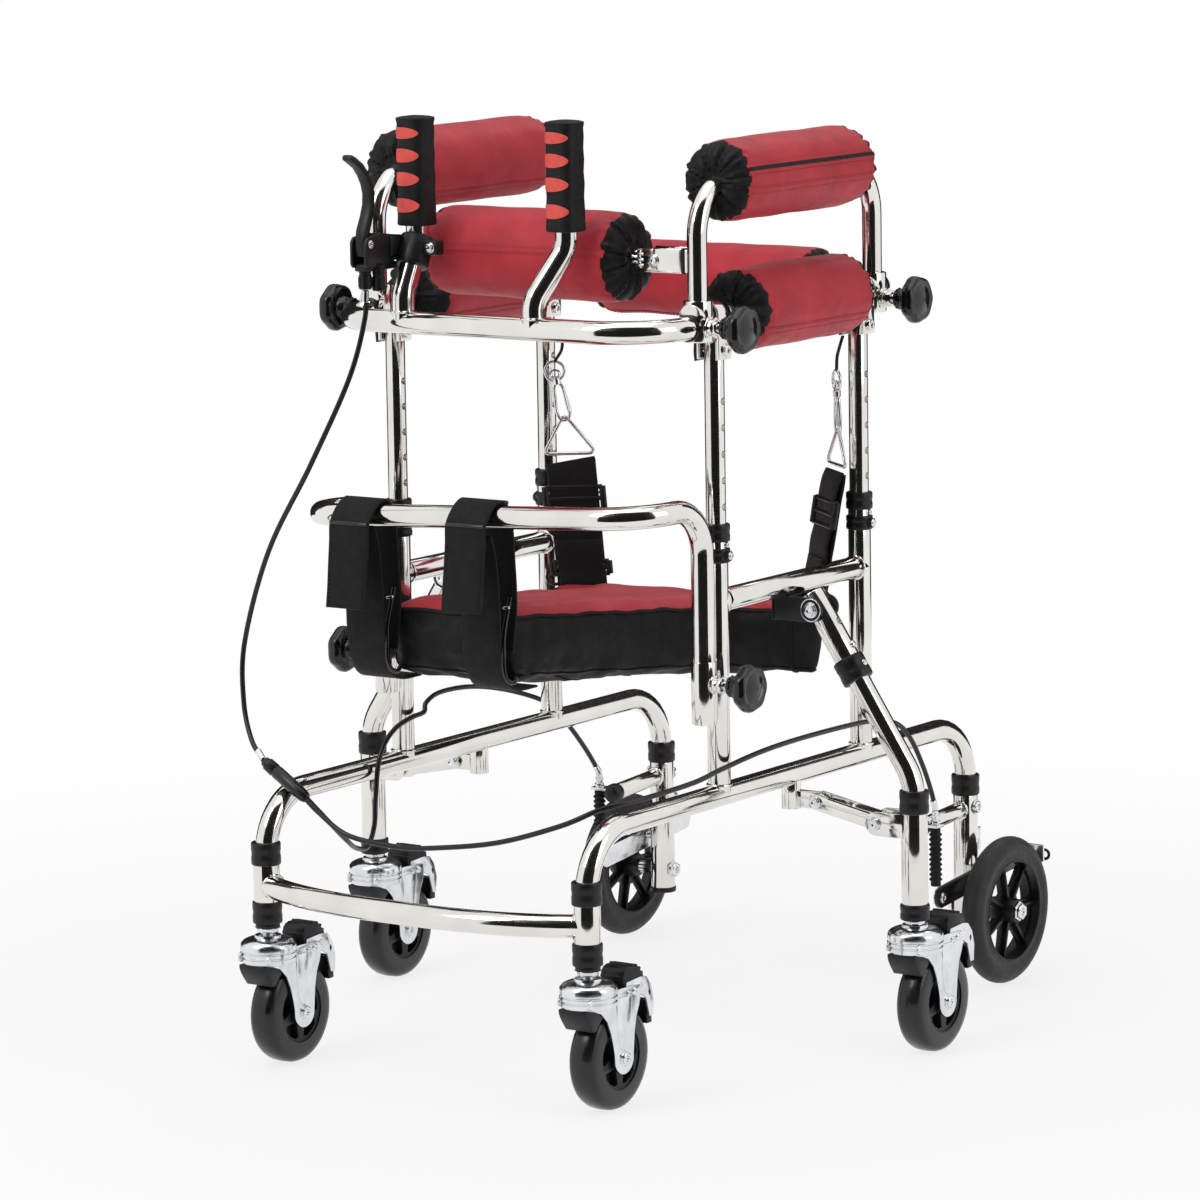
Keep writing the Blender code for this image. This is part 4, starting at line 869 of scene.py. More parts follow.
class WALKER_OT_rear_wheels(bpy.types.Operator):
    """Rear wheels: foamed tyre, rim, ribbed web with small windows, and hub"""
    bl_idname = "walker.rear_wheels"
    bl_label = "Rear wheels"

    def execute(self, context):
        sizes = context.scene.walker_sizes
        x, y, z = REAR_WHEEL_X, REAR_LEG_Y, REAR_WHEEL_Z
        r = sizes.rear_wheel
        half = [(0.0112, r - 0.0235)] + [(0.012 * math.cos(angle), r - 0.012 + 0.012 * math.sin(angle))
                                         for angle in (math.radians(15 * step - 30) for step in range(8))]
        half.append((0.0, r))
        profile = [(-along, radius) for along, radius in half[:-1]] + half[::-1]
        tyre = turned(profile, (x, y, z), (1, 0, 0), 72)
        cut(tyre, rod((x - 0.02, y, z), (x + 0.02, y, z), r - 0.0232, 72, 0))
        rim = turned([(-0.0112, r - 0.023), (-0.0104, r - 0.0226), (0.0104, r - 0.0226), (0.0112, r - 0.023)],
                     (x, y, z), (1, 0, 0), 72)
        cut(rim, rod((x - 0.02, y, z), (x + 0.02, y, z), r - 0.0252, 72, 0))
        web = rod((x - 0.0014, y, z), (x + 0.0014, y, z), r - 0.024, 72, 0)
        ribs, windows = [], []
        for index in range(7):
            middle = 360 * index / 7
            turn = Matrix.Rotation(math.radians(middle), 2)
            outline = [turn @ Vector(corner) for corner in ((0.009, -0.0022), (0.05, -0.0012), (0.05, 0.0012),
                                                            (0.009, 0.0022))]
            ribs.append(side_slab([(y + a, z + b) for a, b in outline], x - 0.006, x + 0.006, 0.0006))
            centre = middle + 180 / 7
            window = arc((y, z), 0.0475, centre - 19, centre + 19, 6)
            window += arc((y, z), 0.023, centre + 14, centre - 14, 3)
            windows.append(side_slab(window, x - 0.01, x + 0.01, 0))
        cut(web, joined(windows))
        hub = turned([(-0.016, 0.0085), (-0.0155, 0.0115), (-0.0145, 0.0122), (-0.004, 0.0135),
                      (0.004, 0.0135), (0.0145, 0.0122), (0.0155, 0.0115), (0.016, 0.0085)],
                     (x, y, z), (1, 0, 0), 48)
        lips = [ring((x + s * 0.0108, y, z), (1, 0, 0), r - 0.024, 0.0009, 72, 8) for s in (-1, 1)]
        assembled("rear_wheel_right", "rear_wheel_right",
                  {"tyre": [tyre], "nylon": [rim, web, hub] + ribs + lips}, mirror=True)
        return {"FINISHED"}


class WALKER_OT_rear_brakes(bpy.types.Operator):
    """Rear brakes: lever bars with their shoes and eyes, and the ribbed boots round their cables"""
    bl_idname = "walker.rear_brakes"
    bl_label = "Rear brakes"

    def execute(self, context):
        y = REAR_LEG_Y
        outline = arc((y - 0.08, 0.099), 0.0105, 98, 262, 12) + arc((y + 0.066, 0.115), 0.0105, -82, 82, 12)
        arm = [side_slab(outline, 0.2028, 0.2072, 0.001),
               ring((0.233, y + 0.079, 0.1185), (0, 1, 0), 0.0048, 0.0016, 28, 8)]
        plate = [side_slab(outline, 0.2013, 0.203, 0.0004),
                 bar((0.204, y + 0.0695, 0.1122), (0.2365, y + 0.0725, 0.13), 0.0009),
                 bolt((0.2072, y - 0.08, 0.099), (1, 0, 0), 0.0046, 0.0018),
                 bolt((0.2072, y + 0.06, 0.115), (1, 0, 0), 0.0046, 0.0018)]
        assembled("brake_arm_right", "brake_arm_right", {"nylon": arm, "zinc": plate},
                  mirror=True)
        top, bottom, ribs = 0.1721, 0.1125, 10
        profile = [(0.0, 0.0044), (0.0008, 0.0052), (0.0036, 0.0052)]
        for index in range(2 * ribs + 1):
            along = 0.0044 + (top - bottom - 0.0088) * index / (2 * ribs)
            profile.append((along, 0.0046 if index % 2 == 0 else 0.0069))
        profile += [(top - bottom - 0.0036, 0.0052), (top - bottom - 0.0008, 0.0052), (top - bottom, 0.0044)]
        boot = rounded(turned(profile, (BRAKE_X, ADJUSTER_Y, top), (0, 0, -1), 28), 0.0005, 2, 30)
        assembled("brake_boot_right", "base", {"rubber": [boot]}, mirror=True)
        return {"FINISHED"}


class WALKER_OT_casters(bpy.types.Operator):
    """Braked swivel casters, modelled once and copied to the front legs and the outriggers"""
    bl_idname = "walker.casters"
    bl_label = "Casters"

    def execute(self, context):
        r = context.scene.walker_sizes.caster
        ay, az = CASTER_TRAIL, r
        half = [(0.014, 0.032), (0.014, r - 0.0095), (0.0131, r - 0.005), (0.0108, r - 0.002),
                (0.007, r - 0.0004), (0.0, r)]
        profile = [(-along, radius) for along, radius in half[:-1]] + half[::-1]
        tread = turned(profile, (0, ay, az), (1, 0, 0), 64)
        cut(tread, rod((-0.02, ay, az), (0.02, ay, az), 0.0305, 64, 0))
        core = turned([(-0.0122, 0.03), (-0.0128, 0.0312), (0.0128, 0.0312), (0.0122, 0.03)], (0, ay, az),
                      (1, 0, 0), 64)
        pockets = []
        for index in range(5):
            for s in (-1, 1):
                turn = Matrix.Rotation(math.radians(72 * index + 18), 2)
                corners = [turn @ Vector(p) for p in ((0.011, 0.0), (0.0225, -0.0115), (0.0262, -0.008),
                                                      (0.0275, 0.0), (0.0262, 0.008), (0.0225, 0.0115))]
                low, high = sorted((s * 0.004, s * 0.02))
                pockets.append(side_slab([(ay + a, az + b) for a, b in corners], low, high, 0))
        cut(core, joined(pockets))
        rounded(core, 0.0006, 2, 45)
        boss = rod((-0.0146, ay, az), (0.0146, ay, az), 0.0095)
        zinc = [turned([(0.103, 0.02), (0.1034, 0.0255), (0.1045, 0.0266), (0.1085, 0.0268), (0.1092, 0.0258),
                        (0.11, 0.0258), (0.1108, 0.027), (0.1135, 0.0271), (0.1142, 0.0262), (0.115, 0.0262),
                        (0.1158, 0.0271), (0.12, 0.0271), (0.1228, 0.0262), (0.1252, 0.0235),
                        (0.1268, 0.0195), (0.1272, 0.016), (0.1276, 0.013), (0.13, 0.0125), (0.1304, 0.0085)],
                       (0, 0, 0), (0, 0, 1), 56),
                rod((0, 0, 0.13), (0, 0, 0.157), 0.0055)]
        leg = [(-0.0245, 0.1125), (-0.025, 0.107), (-0.018, 0.1035), (-0.005, 0.0985), (0.005, 0.089),
               (0.0108, 0.077), (0.0142, 0.065), (0.0162, 0.056)]
        leg += arc((ay, az), 0.0152, 196, 344, 10)
        leg += [(0.0475, 0.059), (0.0488, 0.072), (0.052, 0.086), (0.0568, 0.096), (0.0592, 0.104),
                (0.059, 0.111), (0.056, 0.115), (0.03, 0.1165), (-0.01, 0.1165), (-0.02, 0.115)]
        panel = [(0.0195, 0.104), (0.0205, 0.08), (0.0235, 0.062), (0.027, 0.0585), (0.0365, 0.0585),
                 (0.0395, 0.062), (0.041, 0.08), (0.045, 0.104), (0.043, 0.108), (0.0215, 0.108)]
        for s in (-1, 1):
            zinc.append(side_slab(leg, *sorted((s * 0.0157, s * 0.018)), 0.0006))
            zinc.append(side_slab(panel, *sorted((s * 0.0176, s * 0.0187)), 0.0008))
            zinc.append(bolt((s * 0.0182, ay, az), (s, 0, 0), 0.0064, 0.0034, 6))
            zinc.append(bolt((s * 0.018, 0.04, 0.1095), (s, 0, 0), 0.0024, 0.0012))
            zinc.append(bolt((s * 0.018, 0.05, 0.11), (s, 0, 0), 0.003, 0.0014))
        zinc.append(bar((-0.017, -0.02, 0.103), (0.017, 0.034, 0.1085), 0.0012))
        zinc.append(rod((-0.0185, ay, az), (0.0185, ay, az), 0.004))
        hood = [(-0.0265, 0.104), (-0.0262, 0.1005), (-0.0245, 0.096), (-0.0205, 0.09), (-0.015, 0.083)]
        hood += arc((ay, az), 0.053, 142, 98, 8)
        black = [side_slab(hood + [(0.024, 0.1045)], -0.0156, 0.0156, 0.0022)]
        pad = [(0.0385, 0.107), (0.0385, 0.124), (0.04, 0.129), (0.044, 0.132), (0.05, 0.133),
               (0.057, 0.1322), (0.064, 0.1292), (0.07, 0.124), (0.0728, 0.118), (0.0728, 0.112),
               (0.07, 0.1075)]
        pedal = [side_slab(pad, -0.0132, 0.0132, 0.0014)]
        for angle in range(8):
            turn = math.radians(155 - 22 * angle)
            pedal.append(rod((-0.0128, 0.0545 + 0.0165 * math.cos(turn), 0.117 + 0.0155 * math.sin(turn)),
                             (0.0128, 0.0545 + 0.0165 * math.cos(turn), 0.117 + 0.0155 * math.sin(turn)),
                             0.0016, 12, 0.0004))
        toe = [(0.078, 0.095), (0.08, 0.072), (0.0885, 0.072), (0.0882, 0.09), (0.086, 0.0955)]
        pedal.append(side_slab(toe, -0.0105, 0.0105, 0.0012))
        side = [(0.04, 0.104), (0.064, 0.104), (0.0735, 0.0985), (0.079, 0.08), (0.085, 0.08),
                (0.0862, 0.096), (0.082, 0.11), (0.0745, 0.119), (0.064, 0.1205), (0.042, 0.119)]
        slot = [(0.079, 0.1), (0.0805, 0.104), (0.079, 0.107), (0.077, 0.104)]
        arms = []
        for s in (-1, 1):
            arms.append(side_slab(side, *sorted((s * 0.0131, s * 0.0145)), 0.0004))
            pedal.append(side_slab(slot, *sorted((s * 0.0144, s * 0.0147)), 0))
            arms.append(bolt((s * 0.0145, 0.064, 0.112), (s, 0, 0), 0.0024, 0.0008))
        pieces = {"caster_wheel": ("wheel", {"tread": joined([tread]), "nylon": joined([core, boss])}),
                  "caster_fork": ("fork", {"zinc": joined(zinc), "nylon": joined(black)}),
                  "caster_pedal": ("pedal", {"nylon": joined(pedal), "zinc": joined(arms)})}
        places = {"front_left": (-FRAME_X, FRONT_LEG_Y), "front_right": (FRAME_X, FRONT_LEG_Y),
                  "outer_left": (-OUTER_CASTER_X, OUTRIGGER_Y), "outer_right": (OUTER_CASTER_X, OUTRIGGER_Y)}
        for title, (body, finishes) in pieces.items():
            for index, (kind, piece) in enumerate(finishes.items()):
                for place, (x, y) in places.items():
                    node_name = title + "_" + place
                    dressed(copied(piece, (x, y, 0)), node_name + "_" + kind, kind, body + "_" + place,
                            [node_name] if index == 0 else [])
                deleted(piece)
        return {"FINISHED"}


def outrigger_point(down, across=0.0):
    """A point at a distance down the right outrigger from its pivot, and across it outwards."""
    x = OUT_PIVOT[0] + down * math.sin(OUT_LEAN) + across * math.cos(OUT_LEAN)
    z = OUT_PIVOT[1] - down * math.cos(OUT_LEAN) + across * math.sin(OUT_LEAN)
    return (x, OUTRIGGER_Y, z)


class WALKER_OT_outriggers(bpy.types.Operator):
    """Outriggers: sloping tubes on their hinges, telescoping bent legs and the brace links below"""
    bl_idname = "walker.outriggers"
    bl_label = "Outriggers"

    def execute(self, context):
        sizes = context.scene.walker_sizes
        y = OUTRIGGER_Y
        outer = rod(outrigger_point(-0.016), outrigger_point(0.078), 0.0125, 36, 0.0012)
        cut(outer, rod(outrigger_point(0.021, 0.006), outrigger_point(0.021, 0.02), 0.0038, 20, 0))
        outwards = Vector(outrigger_point(0, 1)) - Vector(outrigger_point(0, 0))
        black = [collar(outrigger_point(0.056), outrigger_point(0.08), 0.0155)]
        button = [(0.0, 0.0036), (0.0022, 0.0036), (0.0034, 0.0028), (0.004, 0.0012)]
        zinc = [turned(button, outrigger_point(0.047, 0.0118), outwards),
                bolt(outrigger_point(0.068, 0.015), outwards, 0.0026, 0.0016)]
        assembled("outrigger_tube_right", "outrigger_tube_right",
                  {"steel": [outer], "nylon": black, "zinc": zinc}, mirror=True)
        x = OUTER_CASTER_X
        corner = (x - OUT_PIVOT[0]) / math.sin(OUT_LEAN)
        line = [outrigger_point(0.038), outrigger_point(corner), (x, y, 0.15)]
        steel = [tube(bend(line, 0.06), sizes.tube),
                 rod((x, y, 0.146), (x, y, 0.24), sizes.sleeve)]
        black = [collar((x, y, 0.238), (x, y, 0.2605), sizes.collar),
                 collar((x, y, 0.1345), (x, y, 0.15), sizes.collar)]
        rx, rz = BRACE_OUTER
        plate = arc((rx, rz), 0.0118, 90, 270, 12) + [(x - 0.006, rz - 0.0118), (x - 0.006, rz + 0.0118)]
        for low, high in ((-0.0127, -0.0097), (0.0097, 0.0127)):
            steel.append(front_slab(plate, y + low, y + high, 0.0007))
        zinc = [rod((rx, y - 0.013, rz), (rx, y + 0.013, rz), 0.003),
                bolt((rx, y - 0.0127, rz), (0, -1, 0), 0.0054, 0.003),
                bolt((rx, y + 0.0127, rz), (0, 1, 0), 0.0054, 0.003, 6),
                rod((x, y, 0.1308), (x, y, 0.135), 0.01)]
        assembled("outrigger_leg_right", "outrigger_leg_right",
                  {"steel": steel, "nylon": black, "zinc": zinc}, mirror=True)
        inner, end = Vector((BRACE_INNER[0], y, BRACE_INNER[1])), Vector((rx, y, rz))
        span = (end - inner).length
        ahead = (end - inner).normalized()
        rise = Vector((0, 1, 0)).cross(ahead) * -1
        near, far = -0.0015, span + 0.0025
        wall = arc((near, 0.002), 0.006, 90, 180, 5) + arc((near, -0.002), 0.006, 180, 270, 5)
        wall += arc((far, -0.002), 0.006, 270, 360, 5) + arc((far, 0.002), 0.006, 0, 90, 5)
        link = []
        for low, high in ((-0.0087, -0.0064), (0.0064, 0.0087)):
            link.append(slab(wall, lambda a, b: inner + ahead * a + rise * b + Vector((0, low, 0)),
                             (0, high - low, 0), 0.0005))
        web = [(0.013, 0.0058), (span - 0.004, 0.0058), (span - 0.004, 0.008), (0.013, 0.008)]
        link.append(slab(web, lambda a, b: inner + ahead * a + rise * b - Vector((0, 0.0087, 0)),
                         (0, 0.0174, 0), 0.0004))
        assembled("brace_link_right", "brace_link_right", {"steel": link}, mirror=True)
        return {"FINISHED"}


class WALKER_OT_middle_bow(bpy.types.Operator):
    """Middle bow that carries the seat's front"""
    bl_idname = "walker.middle_bow"
    bl_label = "Middle bow"

    def execute(self, context):
        left, right = MID_BOW_Z
        corners = [(-FRAME_X, MID_BOW_Y, MID_BOW_FOOT), (-FRAME_X, MID_BOW_Y, left),
                   (MID_BOW_LEFT, MID_BOW_FRONT, left), (FRAME_X, MID_BOW_FRONT, right),
                   (FRAME_X, MID_BOW_Y, right), (FRAME_X, MID_BOW_Y, MID_BOW_FOOT)]
        path = bend(corners, [0.045, 0.04, 0.054, 0.045], 12)
        bow = tube(path, context.scene.walker_sizes.tube, 32)
        assembled("mid_bow", "mid_bow", {"steel": [bow]})
        return {"FINISHED"}


class WALKER_OT_upper_frame(bpy.types.Operator):
    """Inner posts with their rows of holes, side tubes, rear tube, saddles and arch clamps"""
    bl_idname = "walker.upper_frame"
    bl_label = "Upper frame"

    def execute(self, context):
        sizes = context.scene.walker_sizes
        r = sizes.inner
        post = rod((0, 0, 0.41), (0, 0, 0.705), r, 36, 0.0004)
        holes = [rod((0.004, 0, 0.54 + 0.025 * index), (0.014, 0, 0.54 + 0.025 * index), 0.0034, 20, 0)
                 for index in range(5)]
        cut(post, joined(holes))
        outer, inner = 0.0128, r + 0.0003
        band = [(-outer, -0.0425)] + arc((0, 0), outer, 180, 0, 16) + [(outer, -0.0425), (inner, -0.0425)]
        band += arc((0, 0), inner, 0, 180, 16) + [(-inner, -0.0425)]
        saddle = [front_slab([(a, TOP_Z + b) for a, b in band], -0.0105, 0.0105, 0.0008)]
        saddle.append(rod((-0.015, 0, 0.688), (0.015, 0, 0.688), 0.0035))
        saddle.append(bolt((0.0128, 0, 0.688), (1, 0, 0), 0.0056, 0.0036))
        liner = [front_slab([(-outer - 0.0006, 0.7), (-outer - 0.0006, 0.679), (-outer - 0.0035, 0.677),
                             (-outer - 0.0044, 0.686), (-outer - 0.0036, 0.7)], -0.0095, 0.0095, 0.0008)]
        clamp = [rod((0, 0, 0.698), (0, 0, 0.737), 0.0138, 40, 0.0014),
                 rod((0, -0.0138, TOP_Z), (0, 0.0138, TOP_Z), 0.0124, 36, 0.0012)]
        boss = [rod((0.01, 0, BOW_Z), (0.0195, 0, BOW_Z), 0.0082),
                weld((0.0138, 0, BOW_Z), (1, 0, 0), 0.0084),
                bolt((0.0195, 0, BOW_Z), (1, 0, 0), 0.0082, 0.0045, 6)]
        steel = [rod((-FRAME_X, REAR_CLAMP_Y, TOP_Z), (FRAME_X, REAR_CLAMP_Y, TOP_Z), r)]
        black = []
        master = {"post": post, "saddle": joined(saddle), "clamp": joined(clamp + boss),
                  "liner": joined(liner)}
        for s in SIDES.values():
            x = s * FRAME_X
            steel.append(rod((x, FRONT_CLAMP_Y, TOP_Z), (x, REAR_CLAMP_Y, TOP_Z), r))
            for y in POST_YS:
                steel.append(copied(master["post"], (x, y, 0)))
                steel.append(copied(master["saddle"], (x, y, 0)))
                black.append(copied(master["liner"], (x, y, 0)))
        for y in (FRONT_CLAMP_Y, REAR_CLAMP_Y):
            steel.append(copied(master["clamp"], (FRAME_X, y, 0)))
            steel.append(mirrored(steel[-1]))
        deleted(*master.values())
        assembled("upper_frame", "upper", {"steel": steel, "nylon": black})
        return {"FINISHED"}


def handle_path(side):
    """Centre line of a handle: up from the bow, back in an S, then straight up through its grip."""
    foot, head = HANDLES[side]
    return bend([(foot, BOW_FRONT_Y, BOW_Z), (foot, BOW_FRONT_Y, 0.738), (head, GRIP_Y, 0.786),
                 (head, GRIP_Y, 0.9035)], 0.03, 8)


class WALKER_OT_handle_bow(bpy.types.Operator):
    """Bow in front of the chest bar with its two upright handles"""
    bl_idname = "walker.handle_bow"
    bl_label = "Handle bow"

    def execute(self, context):
        r = context.scene.walker_sizes.tube
        end = FRONT_CLAMP_Y - 0.0138
        corners = [(-FRAME_X, end, BOW_Z), (-FRAME_X, BOW_FRONT_Y, BOW_Z), (FRAME_X, BOW_FRONT_Y, BOW_Z),
                   (FRAME_X, end, BOW_Z)]
        steel = [tube(bend(corners, 0.066, 14), r, 32)]
        for side in SIDES:
            steel.append(tube(handle_path(side), r))
            steel.append(weld((HANDLES[side][0], BOW_FRONT_Y, BOW_Z + 0.0102), (0, 0, 1), r))
        black = [collar((x, end - 0.005, BOW_Z), (x, end - 0.0004, BOW_Z), r + 0.0016)
                 for x in (-FRAME_X, FRAME_X)]
        assembled("handle_bow", "upper", {"steel": steel, "nylon": black})
        return {"FINISHED"}


class WALKER_OT_grips(bpy.types.Operator):
    """Squared rubber grips with four coral finger inserts each, modelled once and copied"""
    bl_idname = "walker.grips"
    bl_label = "Hand grips"

    def execute(self, context):
        low, high = GRIP_Z
        tall = high - low
        profile = [(0.0, 0.015), (0.0006, 0.016), (0.002, 0.0164), (0.01, 0.016)]
        swells = ((0.0193, 0.016), (0.0322, 0.0154), (0.0444, 0.016), (0.0554, 0.0153), (0.0665, 0.0159),
                  (0.0775, 0.0153), (0.0884, 0.0158), (0.096, 0.0154))
        profile += list(swells) + [(tall - 0.0042, 0.0161), (tall - 0.0026, 0.0163), (tall - 0.0018, 0.0155),
                                   (tall - 0.0009, 0.012), (tall - 0.0003, 0.007), (tall, 0.0015)]
        body = turned(profile, (0, 0, low), (0, 0, 1), 56)

        def squared(place):
            angle = math.atan2(place.y, place.x)
            grow = (abs(math.cos(angle)) ** 3.4 + abs(math.sin(angle)) ** 3.4) ** (-1 / 3.4)
            return Vector((place.x * grow, place.y * grow, place.z))

        reshaped(body, squared)
        skin = copied(body)
        modified(skin, "DISPLACE", strength=0.0005, mid_level=0.0)
        pads = []
        for z, rise in ((0.8214, 0.0068), (0.8464, 0.0066), (0.8686, 0.0066), (0.8898, 0.0055)):
            outline = [(-0.0055 + 0.0185 * a, z + rise * b) for a, b in arc((0, 0), 1.0, 0, 350, 35)]
            pads.append(front_slab(outline, -0.03, -0.008, 0))
        inserts = cut(skin, joined(pads), "INTERSECT")
        for side in SIDES:
            head = HANDLES[side][1]
            dressed(copied(body, (head, GRIP_Y, 0)), "grip_" + side + "_rubber", "rubber", "upper",
                    ["grip_" + side], 50)
            dressed(copied(inserts, (head, GRIP_Y, 0)), "grip_" + side + "_insert", "insert", "upper", (), 50)
        deleted(body, inserts)
        return {"FINISHED"}


class WALKER_OT_brake_lever(bpy.types.Operator):
    """Brake lever blade, and its clamp with the cable barrels on the left handle"""
    bl_idname = "walker.brake_lever"
    bl_label = "Brake lever"

    def execute(self, context):
        foot, head = HANDLES["left"]
        low, high = Vector((foot, -0.2293, 0.765)), Vector((head, -0.2168, 0.7905))
        black = [rod(low, high, 0.0158, 36, 0.0015),
                 rod(low.lerp(high, -0.04), low.lerp(high, 0.1), 0.015, 36),
                 bar((head + 0.008, -0.23, 0.7748), (head + 0.0305, -0.2165, 0.7892), 0.0016)]
        arm = [(-0.228, 0.7735), (-0.245, 0.769), (-0.262, 0.7655), (-0.284, 0.7655), (-0.2865, 0.769),
               (-0.2865, 0.79), (-0.283, 0.7945), (-0.262, 0.7975), (-0.244, 0.795), (-0.228, 0.7935)]
        for near, far in ((-0.1218, -0.1185), (-0.1055, -0.1022)):
            black.append(side_slab(arm, near, far, 0.0009))
        black.append(bar((-0.12, -0.25, 0.7745), (-0.1, -0.228, 0.7935), 0.0025))
        black.append(bar((-0.1195, -0.283, 0.762), (-0.1045, -0.235, 0.769), 0.0015))
        barrel = [(0.0, 0.0045), (0.001, 0.0058), (0.009, 0.006), (0.0096, 0.0055), (0.011, 0.0055),
                  (0.0116, 0.0061), (0.024, 0.0063), (0.025, 0.0052), (0.0252, 0.003)]
        black.append(turned(barrel, (-0.112, -0.276, 0.77), (0, 0, -1), 32))
        black.append(turned(barrel, (-0.104, -0.2655, 0.768), (0, 0, -1), 32))
        for index in range(10):
            angle = 2 * math.pi * index / 10
            x, y = -0.112 + 0.006 * math.cos(angle), -0.276 + 0.006 * math.sin(angle)
            black.append(rod((x, y, 0.7475), (x, y, 0.7565), 0.0008, 8, 0.0002))
        zinc = [bolt((head + 0.0235, -0.23, 0.782), (0, -1, 0), 0.0042, 0.0035),
                bolt((head + 0.0235, -0.2165, 0.782), (0, 1, 0), 0.0042, 0.0035, 6),
                rod((-0.1222, -0.279, 0.788), (-0.1018, -0.279, 0.788), 0.0019),
                bolt((-0.1022, -0.279, 0.788), (1, 0, 0), 0.0032, 0.0012),
                bolt((-0.1022, -0.246, 0.785), (1, 0, 0), 0.0026, 0.0012)]
        assembled("brake_bracket", "upper", {"nylon": black, "zinc": zinc})
        path = [(-0.2795, 0.776), (-0.28, 0.788), (-0.278, 0.8), (-0.2725, 0.812), (-0.2685, 0.824),
                (-0.268, 0.835), (-0.271, 0.845), (-0.2765, 0.854), (-0.284, 0.862), (-0.294, 0.868),
                (-0.301, 0.8715)]
        half = [0.0048, 0.0058, 0.0058, 0.0052, 0.0048, 0.0046, 0.0044, 0.0042, 0.004, 0.0042, 0.0036]
        front, back = [], []
        for index, (y, z) in enumerate(path):
            before, after = Vector(path[max(index - 1, 0)]), Vector(path[min(index + 1, len(path) - 1)])
            out = (after - before).normalized()
            front.append((y - out[1] * half[index] * 0.8, z + out[0] * half[index] * 0.8))
            back.append((y + out[1] * half[index] * 0.8, z - out[0] * half[index] * 0.8))
        blade = [side_slab(front + back[::-1], -0.1178, -0.1062, 0.0022)]
        groove = path[3:9]
        rib = [(y + 0.001, z) for y, z in groove] + [(y - 0.001, z) for y, z in groove[::-1]]
        for near, far in ((-0.1182, -0.1176), (-0.1064, -0.1058)):
            blade.append(side_slab(rib, near, far, 0.0002))
        assembled("brake_lever", "brake_lever", {"nylon": blade})
        return {"FINISHED"}


def arch_path(steps=12):
    """Centre line of the right arch, from its front clamp over to its rear clamp."""
    x = FRAME_X
    return bend([(x, FRONT_CLAMP_Y, 0.7003), (x, FRONT_CLAMP_Y, UPPER_PAD_Z), (x, REAR_CLAMP_Y, UPPER_PAD_Z),
                 (x, REAR_CLAMP_Y, 0.7003)], 0.05, steps)


class WALKER_OT_arches(bpy.types.Operator):
    """Arches of the upper pads; the right one carries the chest bar's bracket"""
    bl_idname = "walker.arches"
    bl_label = "Arches"

    def execute(self, context):
        r = context.scene.walker_sizes.inner
        arch = tube(arch_path(), r, 32)
        left = mirrored(arch)
        y, z = CHEST
        steel = [arch, bar((0.169, y - 0.011, z - 0.011), (0.18, y + 0.011, z + 0.011), 0.0012)]
        for low, high in ((-0.0115, -0.0091), (0.0091, 0.0115)):
            steel.append(bar((0.1285, y + low, z - 0.0115), (0.172, y + high, z + 0.0115), 0.0008))
        steel.append(bar((0.162, y - 0.0115, z - 0.0115), (0.17, y + 0.0115, z - 0.0095), 0.0006))
        zinc = [rod((CHEST_PIVOT_X, y - 0.0125, z), (CHEST_PIVOT_X, y + 0.0125, z), 0.0029),
                bolt((CHEST_PIVOT_X, y - 0.0115, z), (0, -1, 0), 0.0044, 0.0026),
                bolt((CHEST_PIVOT_X, y + 0.0115, z), (0, 1, 0), 0.0044, 0.0026, 6)]
        black = [bar((0.1722, y - 0.0122, z - 0.0122), (0.1748, y + 0.0122, z + 0.0122), 0.0005)]
        assembled("arch_right", "arch_right", {"steel": steel, "zinc": zinc, "nylon": black})
        assembled("arch_left", "arch_left", {"steel": [left]})
        return {"FINISHED"}


class WALKER_OT_chest_bar(bpy.types.Operator):
    """Bar through the chest pad with its hinge end"""
    bl_idname = "walker.chest_bar"
    bl_label = "Chest bar"

    def execute(self, context):
        y, z = CHEST
        steel = [rod((-0.1165, y, z), (0.121, y, z), context.scene.walker_sizes.inner),
                 bar((0.119, y - 0.0085, z - 0.0085), (0.1255, y + 0.0085, z + 0.0085), 0.0014),
                 bar((0.124, y - 0.0085, z - 0.0085), (0.1485, y + 0.0085, z + 0.0085), 0.0016)]
        for rise in (-0.0052, 0.0, 0.0052):
            steel.append(rod((0.116, y - 0.0096, z + rise), (0.133, y - 0.0084, z + rise), 0.0016, 12,
                             0.0004))
        assembled("chest_bar", "chest", {"steel": steel})
        return {"FINISHED"}


